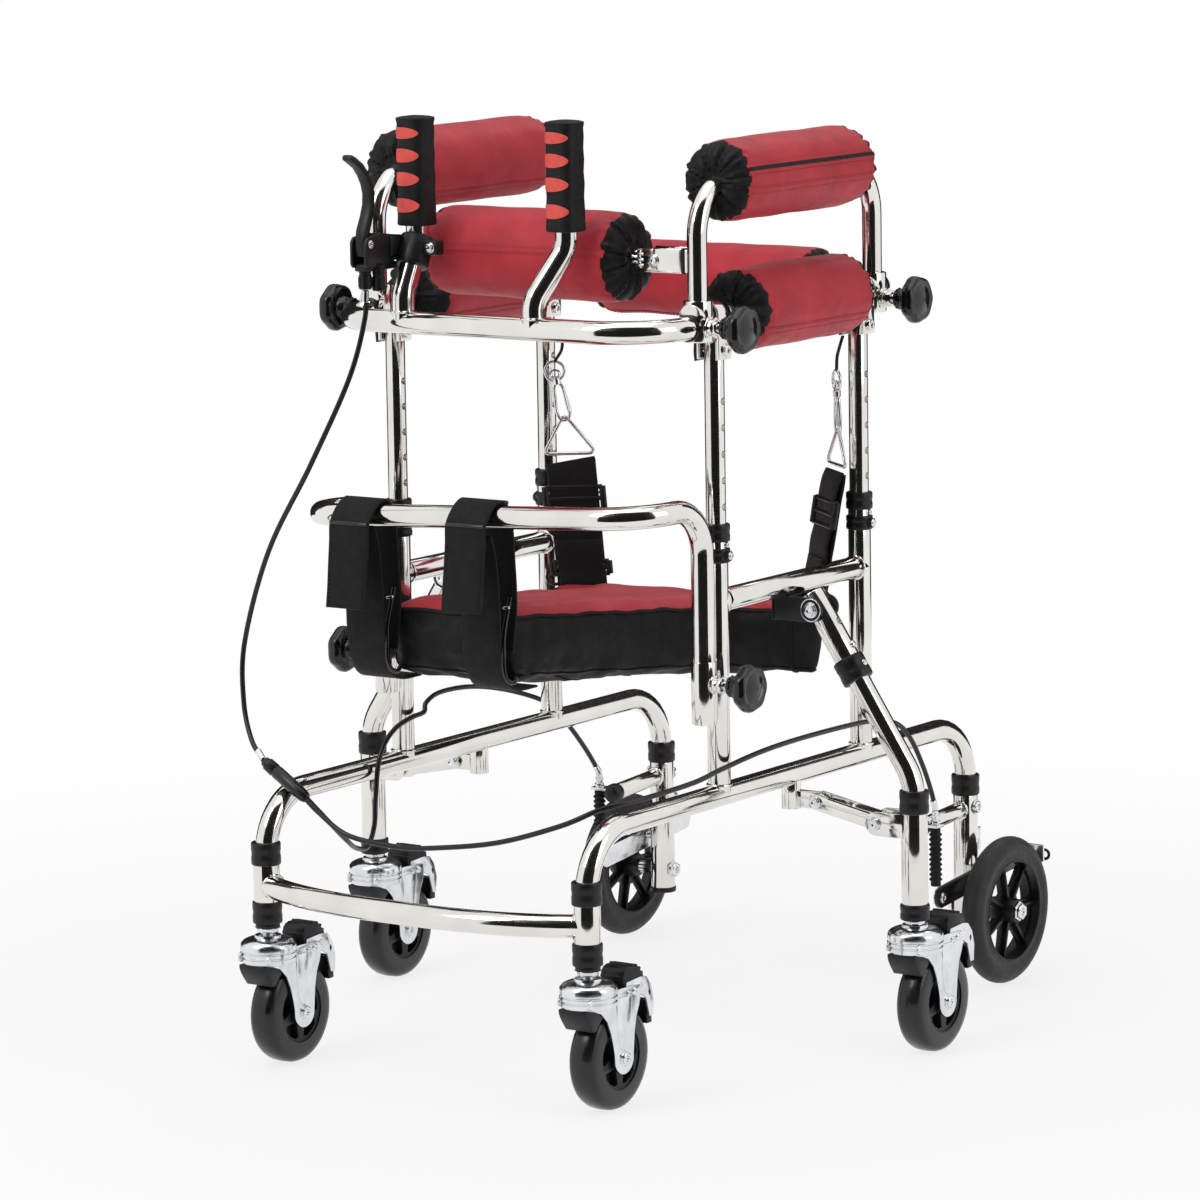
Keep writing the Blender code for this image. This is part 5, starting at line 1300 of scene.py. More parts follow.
class WALKER_OT_clamp_knobs(bpy.types.Operator):
    """Glossy lobed clamp knobs on their screws, modelled once and copied to the six clamps"""
    bl_idname = "walker.clamp_knobs"
    bl_label = "Clamp knobs"

    def execute(self, context):
        r = 0.0225
        steps = [(0.0, 0.7), (0.0006, 0.84), (0.0024, 0.95), (0.005, 1.0), (0.0095, 1.0), (0.0122, 0.965),
                 (0.0138, 0.9), (0.0142, 0.82), (0.0134, 0.74), (0.0136, 0.66), (0.015, 0.46), (0.016, 0.26),
                 (0.0163, 0.1), (0.0155, 0.05)]
        profile = [(along, share * r) for along, share in steps]
        head = turned(profile, (0, 0, 0), (1, 0, 0), 84)

        def lobed(place):
            across = math.hypot(place.y, place.z)
            share = max(0.0, min(1.0, (across / r - 0.78) / 0.15))
            grow = 1 + share * 0.03 * math.cos(7 * math.atan2(place.z, place.y))
            return Vector((place.x, place.y * grow, place.z * grow))

        reshaped(head, lobed)
        hub = turned([(-0.014, 0.0085), (-0.0136, 0.0096), (-0.01, 0.01), (-0.009, 0.0092), (-0.007, 0.0092),
                      (-0.006, 0.01), (0.001, 0.0118)], (0, 0, 0), (1, 0, 0), 40)
        collar_ribs = [rod((-0.0125, 0.0096 * math.cos(a), 0.0096 * math.sin(a)),
                           (-0.0105, 0.0096 * math.cos(a), 0.0096 * math.sin(a)), 0.0012, 10, 0.0003)
                       for a in (2 * math.pi * k / 12 for k in range(12))]
        grip = joined([head, hub] + collar_ribs)
        places = {"middle": (FRAME_X + 0.011 + 0.0325, MID_BOW_Y, MID_KNOB_Z, 0.0325),
                  "front": (FRAME_X + 0.0095 + 0.033, FRONT_CLAMP_Y, BOW_Z, 0.033),
                  "rear": (FRAME_X + 0.0095 + 0.033, REAR_CLAMP_Y, BOW_Z, 0.033)}
        for place, (x, y, z, reach) in places.items():
            screw = rod((x - reach + 0.0006, y, z), (x, y, z), 0.0038, 20)
            turns = [ring((x - 0.015 - 0.0016 * k, y, z), (1, 0, 0), 0.0038, 0.0005, 20, 6) for k in range(4)]
            name = "knob_" + place + "_right"
            assembled(name, name, {"knob": [copied(grip, (x, y, z))], "zinc": [screw] + turns}, mirror=True)
        deleted(grip)
        return {"FINISHED"}


def lofted(rings):
    """A closed body through rings of equal count: a grid wrapped round them, with both ends filled."""
    count = len(rings[0])
    clear()
    bpy.ops.mesh.primitive_grid_add(x_subdivisions=count, y_subdivisions=len(rings) - 1, size=1)
    piece = bpy.context.object
    for index, vertex in enumerate(piece.data.vertices):
        row, column = divmod(index, count + 1)
        vertex.co = rings[row][column % count]
    edited(piece)
    bpy.ops.mesh.remove_doubles(threshold=1e-6)
    bpy.ops.mesh.fill_holes(sides=0)
    bpy.ops.mesh.normals_make_consistent(inside=False)
    bpy.ops.object.mode_set(mode="OBJECT")
    return piece


def creased(piece, depth):
    """Moves each point along its normal by the depth that the rule gives for its place."""
    moves = [vertex.normal * depth(vertex.co) for vertex in piece.data.vertices]
    for vertex, move in zip(piece.data.vertices, moves):
        vertex.co += move
    piece.data.update()
    return piece


def layer(piece, planes, thickness, shift=None):
    """A layer of cloth over the part of the piece behind all the planes; shift(place) makes its edge wavy."""
    cover = copied(piece)
    if shift:
        reshaped(cover, lambda place: place + shift(place))
    for point, normal in planes:
        edited(cover)
        bpy.ops.mesh.bisect(plane_co=point, plane_no=normal, clear_outer=True)
        bpy.ops.object.mode_set(mode="OBJECT")
    if shift:
        reshaped(cover, lambda place: place - shift(place))
    return modified(cover, "SOLIDIFY", thickness=thickness, offset=1.0)


class WALKER_OT_padded_rollers(bpy.types.Operator):
    """Padded rollers: swollen red covers with gathered black ends, hems and a zip"""
    bl_idname = "walker.padded_rollers"
    bl_label = "Padded rollers"

    def execute(self, context):
        sizes = context.scene.walker_sizes
        x = FRAME_X
        y, z = CHEST
        self.roller("pad_upper_right", "arch_right", (x, -0.136, UPPER_PAD_Z), (x, 0.112, UPPER_PAD_Z),
                    sizes.side_pad, zip_at=18.5, hem_at=-13)
        self.roller("pad_upper_left", "arch_left", (-x, -0.136, UPPER_PAD_Z), (-x, 0.112, UPPER_PAD_Z),
                    sizes.side_pad, zip_at=200, hem_at=-40)
        self.roller("pad_lower_right", "upper", (x, -0.107, TOP_Z), (x, 0.108, TOP_Z), sizes.side_pad,
                    zip_at=190, hem_at=-30)
        self.roller("pad_lower_left", "upper", (-x, -0.107, TOP_Z), (-x, 0.108, TOP_Z), sizes.side_pad,
                    zip_at=190, hem_at=-35)
        self.roller("pad_back", "upper", (-0.138, REAR_CLAMP_Y, TOP_Z), (0.138, REAR_CLAMP_Y, TOP_Z),
                    sizes.back_pad, zip_at=60, hem_at=-110)
        self.roller("pad_chest", "chest", (-0.12, y, z), (0.117, y, z), sizes.chest_pad, zip_at=-30,
                    hem_at=170)
        return {"FINISHED"}

    def roller(self, name, body, start, end, radius, zip_at, hem_at):
        start, end = Vector(start), Vector(end)
        tall = (end - start).length
        along = (end - start).normalized()
        one = Vector((1, 0, 0)) if abs(along.x) < 0.5 else Vector((0, 1, 0))
        two = Vector((0, 0, 1))
        seed = 10 * (start.x + 2 * start.z)
        full = radius - 0.0042
        near = [(0.0075, 0.01), (0.004, 0.42 * full), (0.0062, 0.7 * full), (0.0115, 0.89 * full),
                (0.021, 0.985 * full), (0.035, full)]
        piece = turned(near + [(tall - a, b) for a, b in reversed(near)], start, along, 48)
        swollen(piece, 0.0045, 0.0045)

        def spot(place):
            """How far along the roller a place is, its angle round it and its distance from the axis."""
            offset = place - start
            return offset.dot(along), math.atan2(offset.dot(two), offset.dot(one)), math.hypot(
                offset.dot(one), offset.dot(two))

        def gathers(place):
            distance, angle, out = spot(place)
            edge = min(distance, tall - distance)
            at_end = seed + (distance > edge)
            drift = 1.4 * noise.noise(Vector((2.2 * math.cos(angle), 2.2 * math.sin(angle), at_end)))
            pleat = math.cos(21 * angle + 3.0 * drift) * (0.55 + 0.45 * math.cos(9 * angle + drift))
            share = max(0.0, min(1.0, (0.024 - edge) / 0.01)) * min(1.0, out / (0.35 * radius))
            pucker = noise.noise(Vector((9 * angle / math.pi, distance * 45, seed)))
            pucker *= max(0.0, 1 - edge / 0.075)
            broad = noise.noise(Vector((place.x * 22, place.y * 22, place.z * 22 + seed)))
            return 0.0019 * share * pleat + 0.0011 * pucker + 0.0012 * broad - 0.0006

        def waves(place):
            distance, angle, out = spot(place)
            return along * (0.0008 * math.cos(11 * angle + seed) + 0.0005 * math.cos(17 * angle + 2 * seed))

        creased(piece, gathers)
        rim = 0.0165
        ends = [layer(piece, [(start + along * rim, along)], 0.0006, waves),
                layer(piece, [(end - along * rim, -along)], 0.0006, waves)]
        bands = []
        for angle, wide, lift in ((zip_at, 0.01, 0.0011), (hem_at, 0.0075, 0.0007)):
            out = one * math.cos(math.radians(angle)) + two * math.sin(math.radians(angle))
            side = along.cross(out)
            inset = along * (rim - 0.002)
            planes = [(start, -out), (start + inset, -along), (end - inset, along)]
            sides = [(start + side * wide / 2, side), (start - side * wide / 2, -side)]
            bands.append(layer(piece, planes + sides, lift))
            if angle == zip_at:
                planes += [(start + side * 0.0018, side), (start - side * 0.0018, -side)]
                ends.append(layer(piece, planes, 0.0018))
        thread = []
        for angle, across in ((zip_at, 0.0062), (zip_at, -0.0062), (hem_at, 0.0026), (hem_at, -0.0026)):
            turn = math.radians(angle) + across / radius
            out = one * math.cos(turn) + two * math.sin(turn)
            line = []
            for step in range(61):
                base = start + along * (rim + (tall - 2 * rim) * step / 60)
                hit, place, _, _ = piece.ray_cast(base + out * 0.09, -out)
                if hit:
                    line.append(place + out * (0.0009 if abs(across) < 0.004 else 0.0002))
            thread.append(dashes(line, 0.00032, 0.0026, 0.0016))
        assembled(name, body, {"cover": [piece] + bands, "cloth": ends, "thread": thread})


def seat_level(y, height=0.0):
    """Height of the sling seat's sloping top at this depth, and of the levels below and above it."""
    return SEAT_Z - SEAT_SLOPE * y + height


def seat_outline(steps=8):
    """Saddle outline with its narrow nose hung to the left, as (x, y, most that a point may move in)."""
    corners = [((0.11, 0.121), 0.04), ((-0.11, 0.121), 0.04), ((-0.167, 0.108), 0.01),
               ((-0.163, 0.086), 0.01), ((-0.096, 0.05), 0.04), ((-0.14, -0.24), 0.02),
               ((0.016, -0.236), 0.02), ((0.078, 0.05), 0.04), ((0.163, 0.086), 0.01),
               ((0.167, 0.108), 0.01)]
    points = []
    for index, (corner, radius) in enumerate(corners):
        before, after = corners[index - 1][0], corners[(index + 1) % len(corners)][0]
        turn = bend([(*before, 0), (*corner, 0), (*after, 0)], radius, steps)[1:-1]
        points += [(place.x, place.y, 0.8 * radius) for place in turn]
    return points


class WALKER_OT_seat(bpy.types.Operator):
    """Sling seat: a swollen black body with a red top cover, piped edges and side seams"""
    bl_idname = "walker.seat"
    bl_label = "Sling seat"

    def execute(self, context):
        outline = seat_outline()
        levels = ((-0.0615, 0.013), (-0.057, 0.006), (-0.033, 0.0045), (-0.006, 0.0045), (0.001, 0.008),
                  (0.005, 0.02), (0.006, 0.036))
        rings = []
        for height, distance in levels:
            ring_points = []
            for index, (x, y, limit) in enumerate(outline):
                before, after = outline[index - 1], outline[(index + 1) % len(outline)]
                tangent = (Vector(after[:2]) - Vector(before[:2])).normalized()
                reach = min(distance, limit)
                place = (x - tangent[1] * reach, y + tangent[0] * reach)
                ring_points.append((*place, seat_level(place[1], height)))
            rings.append(ring_points)
        piece = swollen(lofted(rings), 0.0055, 0.006)

        def folds(place):
            depth = seat_level(place.y) - place.z
            side = max(0.0, min(1.0, (depth - 0.004) / 0.01))
            hang = max(0.0, min(1.0, (depth - 0.03) / 0.02))
            round_it = (place.x - 0.6 * place.y)
            pull = 0.0009 * math.cos(round_it * 210 + 3 * noise.noise(place * 18))
            pull *= side * (0.35 + 0.65 * hang)
            return pull + 0.0018 * noise.noise(place * 26) + 0.001 * noise.noise(place * 60) * side - 0.001

        creased(piece, folds)

        def wander(place):
            rise = 0.0006 * math.cos(place.x * 95 + place.y * 60) + 0.0004 * math.cos(place.y * 190)
            return Vector((0, 0, rise))

        down = Vector((0, -SEAT_SLOPE, -1)).normalized()

        def edge(height):
            return Vector((0, 0, seat_level(0, height)))

        top = layer(piece, [(edge(-0.0005), down)], 0.0008, wander)
        piping = layer(piece, [(edge(-0.0027), down), (edge(-0.0003), -down)], 0.0018, wander)
        lower = layer(piece, [(edge(-0.059), down), (edge(-0.0565), -down)], 0.0014, wander)
        seams = []
        for x in (0.0105, -0.1265, 0.135, -0.15):
            planes = [(edge(-0.001), -down), ((x + 0.0013, 0, 0), (1, 0, 0)),
                      ((x - 0.0013, 0, 0), (-1, 0, 0))]
            seams.append(layer(piece, planes, 0.0012))
        assembled("seat_cushion", "base", {"cloth": [piece, piping, lower] + seams, "cover": [top]})
        return {"FINISHED"}


class WALKER_OT_front_straps(bpy.types.Operator):
    """Two front straps that hang the seat's nose from the middle bow, with their flaps, sliders and rings"""
    bl_idname = "walker.front_straps"
    bl_label = "Front straps"

    def execute(self, context):
        sizes = context.scene.walker_sizes
        thick, wide = sizes.webbing, sizes.front_strap
        left, right = MID_BOW_Z
        for name, x in FRONT_STRAPS.items():
            bow_z = left + (right - left) * (x - MID_BOW_LEFT) / (FRAME_X - MID_BOW_LEFT)

            def route(places, spacing=0.005):
                return flowing([(x, y, z) for y, z in places], spacing)

            def by_bow(offsets):
                return [(MID_BOW_FRONT + y, bow_z + z) for y, z in offsets]

            lower = route([(-0.2, 0.3655), (-0.228, 0.366), (-0.244, 0.372), (-0.253, 0.387), (-0.2575, 0.41),
                           (-0.259, 0.435), (-0.261, 0.47), (-0.265, 0.5), (-0.271, 0.519)])
            over = by_bow([(-0.033, -0.086), (-0.029, -0.056), (-0.0255, -0.024), (-0.024, -0.005),
                           (-0.012, 0.0095), (0.001, 0.016), (0.011, 0.0125), (0.0168, 0.0035),
                           (0.02, -0.011), (0.023, -0.05), (0.0245, -0.088), (0.018, -0.13)])
            webs = [ribbon(lower, (1, 0, 0), wide - 0.001, thick),
                    ribbon(route(over, 0.004), (1, 0, 0), wide, 0.0029)]
            for row, web in enumerate(webs):
                reshaped(web, lambda place, row=row: place + Vector((
                    0, 0.0009 * noise.noise(Vector((place.x * 26, row + x, place.z * 28))), 0)))
            # Bound edges of the flap, with their stitches
            stitches = []
            for edge in (-1, 1):
                side = [(x + edge * (wide / 2 - 0.003), y - 0.0016, z) for y, z in over[:3]]
                stitches.append(dashes(side, 0.00035, 0.0026, 0.0016))
            # Dark wire hook that hangs from the buckle at the right edge, and the buckle's bars on the bow
            bends = [(0.018, -0.236, 0.455), (0.0205, -0.25, 0.425), (0.0235, -0.256, 0.405),
                     (0.025, -0.258, 0.39), (0.027, -0.256, 0.38), (0.03, -0.25, 0.3765),
                     (0.029, -0.244, 0.38)]
            hook = flowing([(x + out, y, z) for out, y, z in bends], 0.003)
            dark = [tube(hook, 0.0022, 14)]
            for y, z in by_bow([(-0.025, -0.005), (0.0135, 0.0135)]):
                dark.append(rod((x - wide / 2 + 0.001, y, z), (x + wide / 2 - 0.001, y, z), 0.0021, 20))
            wire = [rod((x + 0.015, -0.244, 0.446), (x + 0.0225, -0.244, 0.447), 0.0016, 16)]
            span = ("base", "mid_bow", (x, MID_BOW_FRONT, 0.4), (x, MID_BOW_FRONT, 0.5))
            assembled(name, span, {"webbing": webs, "knob": dark, "zinc": wire, "cloth": stitches})
        return {"FINISHED"}


class WALKER_OT_rear_straps(bpy.types.Operator):
    """Two rear straps from the seat's corners up to their wire triangles, with sliders and buckles"""
    bl_idname = "walker.rear_straps"
    bl_label = "Rear straps"

    def execute(self, context):
        for side, s in SIDES.items():
            self.strap(context.scene.walker_sizes, side, s)
        return {"FINISHED"}

    def strap(self, sizes, side, s):
        thick, wide = sizes.webbing, sizes.rear_strap
        across = Vector((math.cos(STRAP_TURN), -s * math.sin(STRAP_TURN), 0))
        face = Vector((across.y, -across.x, 0))
        foot, head = (Vector(place) for place in STRAPS[side])
        tilt = 0.16 if side == "left" else 0.0

        def route(shares, lift):
            places = [foot.lerp(head, share) + face * (out + lift) for share, out in shares]
            return flowing(places, 0.004)

        main = route(((-0.2, -0.004), (0.0, 0.0), (0.25, 0.0005), (0.5, 0.001), (0.8, 0.0), (0.97, 0.0)), 0.0)
        turned_back = route(((0.985, 0.0), (0.9, 0.0035), (0.72, 0.0045), (0.58, 0.004), (0.44, 0.006),
                             (0.3, 0.005)), 0.0012)
        tail = route(((0.34, 0.0075), (0.22, 0.008), (0.08, 0.0058), (-0.03, 0.0068)), 0.0012)
        webs = [ribbon(main, across, wide, thick), ribbon(turned_back, across, wide - 0.001, thick),
                ribbon(tail, across, wide - 0.004, thick)]

        def hung(place, row):
            share = (place.z - foot.z) / (head.z - foot.z)
            rise = tilt * max(0.0, share - 0.4) / 0.6 * (place - foot).dot(across)
            crease = 0.002 * noise.noise(Vector((place.x * 26, row + 3, place.z * 36)))
            return place + face * crease + Vector((0, 0, rise))

        for row, web in enumerate(webs):
            reshaped(web, lambda place, row=row: hung(place, row))
        slider, wire = [], []
        for low, high, reach in ((0.05, 0.17, 0.0285), (0.56, 0.78, 0.029)):
            centre = foot.lerp(head, (low + high) / 2) + face * 0.0058
            rise = (head - foot) * (high - low) / 2
            for share in (-0.84, 0.0, 0.84):
                middle = centre + rise * share
                slider.append(rod(middle - across * reach, middle + across * reach, 0.0024, 16))
            for edge in (-reach, reach):
                middle = centre + across * edge
                slider.append(rod(middle - rise * 0.9, middle + rise * 0.9, 0.0034, 16))
            wire.append(rod(centre - face * 0.001 + rise * 0.4 - across * (reach - 0.003),
                            centre - face * 0.001 + rise * 0.4 + across * (reach - 0.003), 0.0012, 12))
        # Dark loop at the seat's side, under the lower slider
        eye = foot + across * s * 0.028 + Vector((0, 0, 0.004))
        slider.append(ring(eye, face, 0.0075, 0.0016, 28, 8))
        span = ("base", "upper", tuple(foot), tuple(head))
        name = "seat_strap_rear_" + side
        assembled(name, span, {"webbing": webs, "nylon": slider, "zinc": wire})


class WALKER_OT_strap_hooks(bpy.types.Operator):
    """Wire triangles, snap hooks, rings and cords that hang the rear straps from the upper frame"""
    bl_idname = "walker.strap_hooks"
    bl_label = "Strap hooks"

    def execute(self, context):
        for side, s in SIDES.items():
            self.hook(side, s)
        return {"FINISHED"}

    def hook(self, side, s):
        across = Vector((math.cos(STRAP_TURN), -s * math.sin(STRAP_TURN), 0)) * 0.027
        base, apex, top = (Vector(place) for place in HOOKS[side])
        facing = Vector((-s * 0.6, -0.8, 0.0))
        rise = (top - apex).normalized()
        width = rise.cross(facing).normalized()
        corner_left, corner_right = base - across, base + across
        loop = [corner_left.lerp(corner_right, 0.5)]
        for before, corner, after in ((base, corner_right, apex), (corner_right, apex, corner_left),
                                      (apex, corner_left, base)):
            loop += bend([before, corner, after], 0.0035, 5)[1:-1]
        zinc = [tube(loop, 0.0018, 14, closed=True)]

        def on_hook(a, b, out=0.0):
            return apex - rise * 0.006 + width * a + rise * b + facing * out

        wire = [on_hook(a, b) for a, b in ((0.0, 0.0), (0.004, 0.0012), (0.0062, 0.0065), (0.0064, 0.014),
                                           (0.005, 0.026), (0.004, 0.034), (0.0, 0.0385), (-0.004, 0.034),
                                           (-0.005, 0.026), (-0.0064, 0.014), (-0.0062, 0.0065),
                                           (-0.004, 0.0012))]
        zinc.append(tube(flowing(wire + [wire[0]], 0.0015)[:-1], 0.0017, 14, closed=True))
        zinc.append(tube([on_hook(0.0052, 0.008, 0.0012), on_hook(0.0044, 0.032, 0.0012)], 0.0014, 12))
        eye = [(0.0, 0.003), (0.0006, 0.0038), (0.006, 0.0038), (0.0066, 0.0028), (0.0085, 0.0022)]
        zinc.append(turned(eye, on_hook(0, 0.0365), rise, 24))
        zinc.append(ring(on_hook(0, 0.0475), facing, 0.0042, 0.0013, 28, 8))
        zinc.append(ring(top, facing, 0.0098, 0.0015, 40, 10))
        cord = [top + Vector((0, 0, 0.0095))] + [Vector(place) for place in CORDS[side]]
        black = [tube(flowing(cord, 0.003), 0.0016, 12)]
        strands = flowing(cord, 0.0015)
        for phase in (0.0, math.pi):
            twist = [place + Vector((math.cos(phase + 1.3 * k), math.sin(phase + 1.3 * k), 0)) * 0.0008
                     for k, place in enumerate(strands)]
            black.append(tube(twist, 0.001, 8))
        name = "strap_hook_" + side
        assembled(name, "upper", {"zinc": zinc, "cable": black})


MAIN_ROUTE = [(-0.112, -0.276, 0.7441), (-0.113, -0.277, 0.716), (-0.125, -0.288, 0.66),
              (-0.164, -0.3, 0.577), (-0.215, -0.302, 0.492), (-0.247, -0.302, 0.402),
              (-0.244, -0.31, 0.345), (-0.226, -0.322, 0.31), (-0.2061, -0.33, 0.2938)]
RIGHT_ROUTE = [(-0.158, -0.331, 0.263), (-0.14, -0.331, 0.249), (-0.105, -0.331, 0.23),
               (-0.045, -0.331, 0.225), (0.002, -0.331, 0.229), (0.071, -0.331, 0.241),
               (0.14, -0.328, 0.263), (0.174, -0.312, 0.279), (0.196, -0.27, 0.285),
               (0.204, -0.203, 0.289), (0.204, -0.156, 0.294), (0.204, -0.088, 0.3),
               (0.204, -0.018, 0.302), (0.204, 0.073, 0.301), (0.204, 0.12, 0.298),
               (0.204, 0.16, 0.289), (0.204, 0.186, 0.27), (0.204, 0.2095, 0.238),
               (0.204, 0.2255, 0.209), (BRAKE_X, ADJUSTER_Y, 0.1907)]
LEFT_ROUTE = [(-0.158, -0.329, 0.263), (-0.147, -0.318, 0.245), (-0.148, -0.28, 0.214),
              (-0.163, -0.243, 0.197), (-0.1695, -0.216, 0.193), (-0.1705, -0.203, 0.212),
              (-0.1705, -0.2, 0.24), (-0.1705, -0.192, 0.278), (-0.1705, -0.17, 0.3),
              (-0.169, -0.142, 0.309), (-0.17, -0.119, 0.311), (-0.19, -0.088, 0.314),
              (-0.204, -0.045, 0.317), (-0.204, 0.006, 0.315), (-0.204, 0.066, 0.303),
              (-0.204, 0.129, 0.283), (-0.204, 0.159, 0.265), (-0.204, 0.185, 0.242),
              (-0.204, 0.2105, 0.216), (-BRAKE_X, ADJUSTER_Y, 0.1907)]


class WALKER_OT_brake_cables(bpy.types.Operator):
    """Brake cable from the lever to the splitter and the two cables on to the rear brakes"""
    bl_idname = "walker.brake_cables"
    bl_label = "Brake cables"

    def execute(self, context):
        r = context.scene.walker_sizes.cable
        main = [tube(flowing(MAIN_ROUTE, 0.006), r, 16)]
        first, second = Vector(MAIN_ROUTE[0]), Vector(MAIN_ROUTE[1])
        ferrule = [(0.0, r), (0.0006, r * 1.35), (0.011, r * 1.35), (0.0116, r * 1.1)]
        zinc = [turned(ferrule, first, second - first, 24)]
        last, before = Vector(MAIN_ROUTE[-1]), Vector(MAIN_ROUTE[-2])
        zinc.append(turned([(0.0, r), (0.0006, 0.0031), (0.012, 0.0031), (0.0126, r)], last, before - last,
                           24))
        span = ("base", "upper", tuple(last), tuple(first))
        assembled("brake_cable_main", span, {"cable": main, "zinc": zinc})
        start, end = Vector((-0.205, -0.33, 0.293)), Vector((-0.155, -0.33, 0.261))
        whole = (end - start).length
        splitter = turned([(0.0, 0.0036), (0.001, 0.0048), (0.004, 0.0052), (0.0052, 0.0064), (0.015, 0.0066),
                           (0.0158, 0.006), (0.0172, 0.006), (0.018, 0.0066), (whole - 0.012, 0.0065),
                           (whole - 0.003, 0.0058), (whole, 0.0046)], start, end - start, 32)
        rear = [splitter, tube(flowing(RIGHT_ROUTE, 0.008), r, 16), tube(flowing(LEFT_ROUTE, 0.008), r, 16)]
        ends = []
        for route in (RIGHT_ROUTE, LEFT_ROUTE):
            tip, back = Vector(route[-1]), Vector(route[-2])
            ends.append(turned([(0.0, r), (0.0006, 0.0033), (0.01, 0.0033), (0.0106, r)], tip, back - tip,
                               24))
        assembled("brake_cable_rear", "base", {"cable": rear, "zinc": ends})
        return {"FINISHED"}


# Studio

CAMERA_TARGET = Vector((-0.00332, -0.05217, 0.42604))
CAMERA_DISTANCE = 5.40339
CAMERA_AZIMUTH, CAMERA_ELEVATION, CAMERA_ROLL = (math.radians(angle) for angle in (34.66, 8.76, -0.9))
CAMERA_LENS = 166.4
SENSOR = 36.0


LIT_POINT = Vector((0, 0, 0.42))


def watched(tree):
    """One for a ray from the camera, a mirror or a clear surface, and zero for light."""
    rays = node(tree, "ShaderNodeLightPath")
    seen = node(tree, "ShaderNodeMath", {0: rays.outputs["Is Camera Ray"], 1: rays.outputs["Is Glossy Ray"]},
                operation="MAXIMUM")
    seen = node(tree, "ShaderNodeMath", {0: seen.outputs[0], 1: rays.outputs["Is Transmission Ray"]},
                operation="MAXIMUM")
    return seen.outputs[0]


def around(azimuth, elevation, distance, target=LIT_POINT):
    """The place at this azimuth from the walker's front, this elevation and this distance."""
    azimuth, elevation = math.radians(azimuth), math.radians(elevation)
    way = Vector((math.sin(azimuth) * math.cos(elevation), -math.cos(azimuth) * math.cos(elevation),
                  math.sin(elevation)))
    return target + way * distance


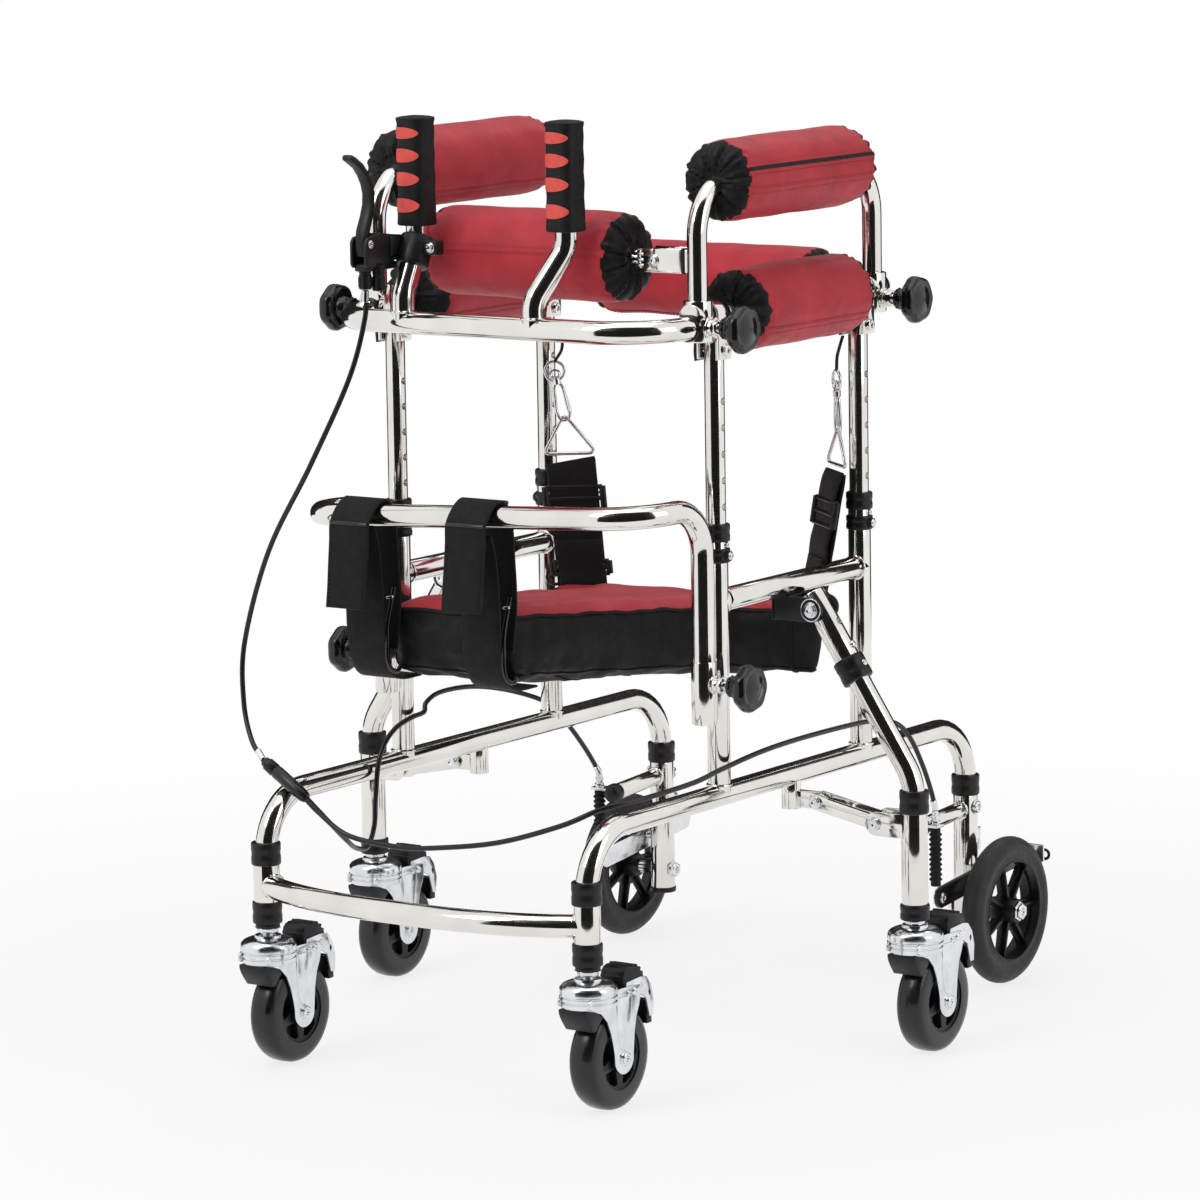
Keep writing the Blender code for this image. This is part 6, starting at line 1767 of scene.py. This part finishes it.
class WALKER_OT_studio(bpy.types.Operator):
    """Pale floor, soft lamps, dark cards that streak the polished tubes, and the camera"""
    bl_idname = "walker.studio"
    bl_label = "Studio"

    def execute(self, context):
        self.camera(context)
        self.world(context)
        self.floor(context)
        self.lamps()
        self.cards()
        context.scene.view_settings.view_transform = "Standard"
        return {"FINISHED"}

    def camera(self, context):
        back = Vector((math.sin(CAMERA_AZIMUTH) * math.cos(CAMERA_ELEVATION),
                       -math.cos(CAMERA_AZIMUTH) * math.cos(CAMERA_ELEVATION), math.sin(CAMERA_ELEVATION)))
        right = (-back).cross(Vector((0, 0, 1))).normalized()
        up = right.cross(-back)
        rolled = (right * math.cos(CAMERA_ROLL) + up * math.sin(CAMERA_ROLL),
                  up * math.cos(CAMERA_ROLL) - right * math.sin(CAMERA_ROLL), back)
        clear()
        bpy.ops.object.camera_add(location=CAMERA_TARGET + back * CAMERA_DISTANCE,
                                  rotation=Matrix(rolled).transposed().to_euler())
        view = bpy.context.object
        view.name = "view"
        view.data.sensor_width = SENSOR
        view.data.sensor_fit = "HORIZONTAL"
        view.data.lens = CAMERA_LENS
        view.data.clip_end = 200
        context.scene.camera = view

    def world(self, context):
        """White where it is seen or mirrored, and half as bright where it lights the walker."""
        world = bpy.data.worlds.new("studio_world")
        world.use_nodes = True
        tree = world.node_tree
        context.scene.world = world
        seen = watched(tree)
        strength = node(tree, "ShaderNodeMapRange", {"Value": seen, "To Min": 0.42, "To Max": 1.0})
        sky = tree.nodes["Background"]
        sky.inputs["Color"].default_value = (1, 1, 1, 1)
        tree.links.new(strength.outputs["Result"], sky.inputs["Strength"])

    def floor(self, context):
        clear()
        bpy.ops.mesh.primitive_plane_add(size=80)
        floor = settled(bpy.context.object)
        floor.name = "studio_floor"
        edited(floor, "FACE")
        bpy.ops.mesh.subdivide(number_cuts=3)
        bpy.ops.object.mode_set(mode="OBJECT")
        made, tree, shader, place = started("painted_floor", IOR=1.45)
        tone = context.scene.walker_colours.floor
        shaded(tree, shader, (tinted(tone, 0.985), tinted(tone, 1.0)), blotches(tree, place, 900, 0.0, 1.0))
        shader.inputs["Roughness"].default_value = 0.9
        shader.inputs["Specular IOR Level"].default_value = 0.1
        seen = watched(tree)
        reach = node(tree, "ShaderNodeVectorMath", {0: place}, operation="LENGTH")
        share = node(tree, "ShaderNodeMapRange", {"Value": reach.outputs["Value"], "From Min": 0.5,
                                                  "From Max": 1.6, "To Min": 0.8, "To Max": 1.0})
        white = node(tree, "ShaderNodeMath", {0: seen, 1: share.outputs["Result"]}, operation="MULTIPLY")
        glow = node(tree, "ShaderNodeEmission", {"Color": (1, 1, 1, 1), "Strength": 1.0})
        mix = node(tree, "ShaderNodeMixShader", {0: white.outputs[0], 1: shader.outputs[0],
                                                 2: glow.outputs[0]})
        tree.links.new(mix.outputs[0], tree.nodes["Material Output"].inputs["Surface"])
        floor.data.materials.append(made)

    def lamps(self):
        """Soft key from the upper left of the camera, a weaker fill from its right and one from above."""
        for name, azimuth, elevation, distance, size, power in (
                ("key", -12, 42, 3.2, 1.6, 34), ("fill", 88, 22, 3.4, 1.8, 16), ("top", 35, 84, 3.0, 2.2, 16),
                ("rim", 200, 35, 3.2, 1.6, 14)):
            place = around(azimuth, elevation, distance)
            clear()
            bpy.ops.object.light_add(type="AREA", location=place, rotation=turn_to(place - LIT_POINT))
            lamp = bpy.context.object
            lamp.name = "lamp_" + name
            lamp.data.size = size
            lamp.data.energy = power

    def cards(self):
        """Upright dark cards that only mirrors see: they draw the dark band down each polished tube."""
        for name, azimuth, distance, width, low, high, tone in (
                ("front", 34.66, 1.35, 2.5, 0.01, 2.6, "#060606"),
                ("back", 214.66, 2.2, 7.0, 0.01, 2.8, "#0E0D0D")):
            middle = Vector((0, 0, (low + high) / 2))
            place = around(azimuth, 0, distance, middle)
            tall = high - low
            clear()
            bpy.ops.mesh.primitive_plane_add(size=1, location=place, rotation=turn_to(middle - place))
            card = bpy.context.object
            card.scale = (width, tall, 1)
            card = settled(card)
            card.name = "studio_card_" + name
            made, tree, shader, spot = started("card_" + name)
            shaded(tree, shader, (srgb(tone), tinted(srgb(tone), 1.4)), blotches(tree, spot, 700, 0.0, 1.0))
            shader.inputs["Roughness"].default_value = 1.0
            card.data.materials.append(made)
            card.visible_camera = False
            card.visible_diffuse = False
            card.visible_shadow = False


OPERATORS = (WALKER_OT_side_frames, WALKER_OT_front_bow, WALKER_OT_rear_legs, WALKER_OT_rear_wheels,
             WALKER_OT_rear_brakes, WALKER_OT_casters, WALKER_OT_outriggers, WALKER_OT_middle_bow,
             WALKER_OT_upper_frame, WALKER_OT_handle_bow, WALKER_OT_grips, WALKER_OT_brake_lever,
             WALKER_OT_arches, WALKER_OT_chest_bar, WALKER_OT_clamp_knobs, WALKER_OT_padded_rollers,
             WALKER_OT_seat,
             WALKER_OT_front_straps, WALKER_OT_rear_straps, WALKER_OT_strap_hooks, WALKER_OT_brake_cables,
             WALKER_OT_studio)


class WALKER_PT_panel(bpy.types.Panel):
    """Lists the walker's sizes, its colours and the operators of its pieces"""
    bl_label = "Pediatric walker"
    bl_idname = "WALKER_PT_panel"
    bl_space_type = "VIEW_3D"
    bl_region_type = "UI"
    bl_category = "Walker"

    def draw(self, context):
        for group in (context.scene.walker_sizes, context.scene.walker_colours):
            box = self.layout.box()
            for key in group.bl_rna.properties.keys():
                if key not in ("rna_type", "name"):
                    box.prop(group, key)
        for operator in OPERATORS:
            self.layout.operator(operator.bl_idname)


def register():
    for item in (WalkerSizes, WalkerColours, *OPERATORS, WALKER_PT_panel):
        bpy.utils.register_class(item)
    bpy.types.Scene.walker_sizes = PointerProperty(type=WalkerSizes)
    bpy.types.Scene.walker_colours = PointerProperty(type=WalkerColours)


def unregister():
    del bpy.types.Scene.walker_colours
    del bpy.types.Scene.walker_sizes
    for item in (WALKER_PT_panel, *reversed(OPERATORS), WalkerColours, WalkerSizes):
        bpy.utils.unregister_class(item)


def main():
    register()
    for operator in OPERATORS:
        group, name = operator.bl_idname.split(".")
        getattr(getattr(bpy.ops, group), name)()
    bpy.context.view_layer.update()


if __name__ == "__main__":
    main()
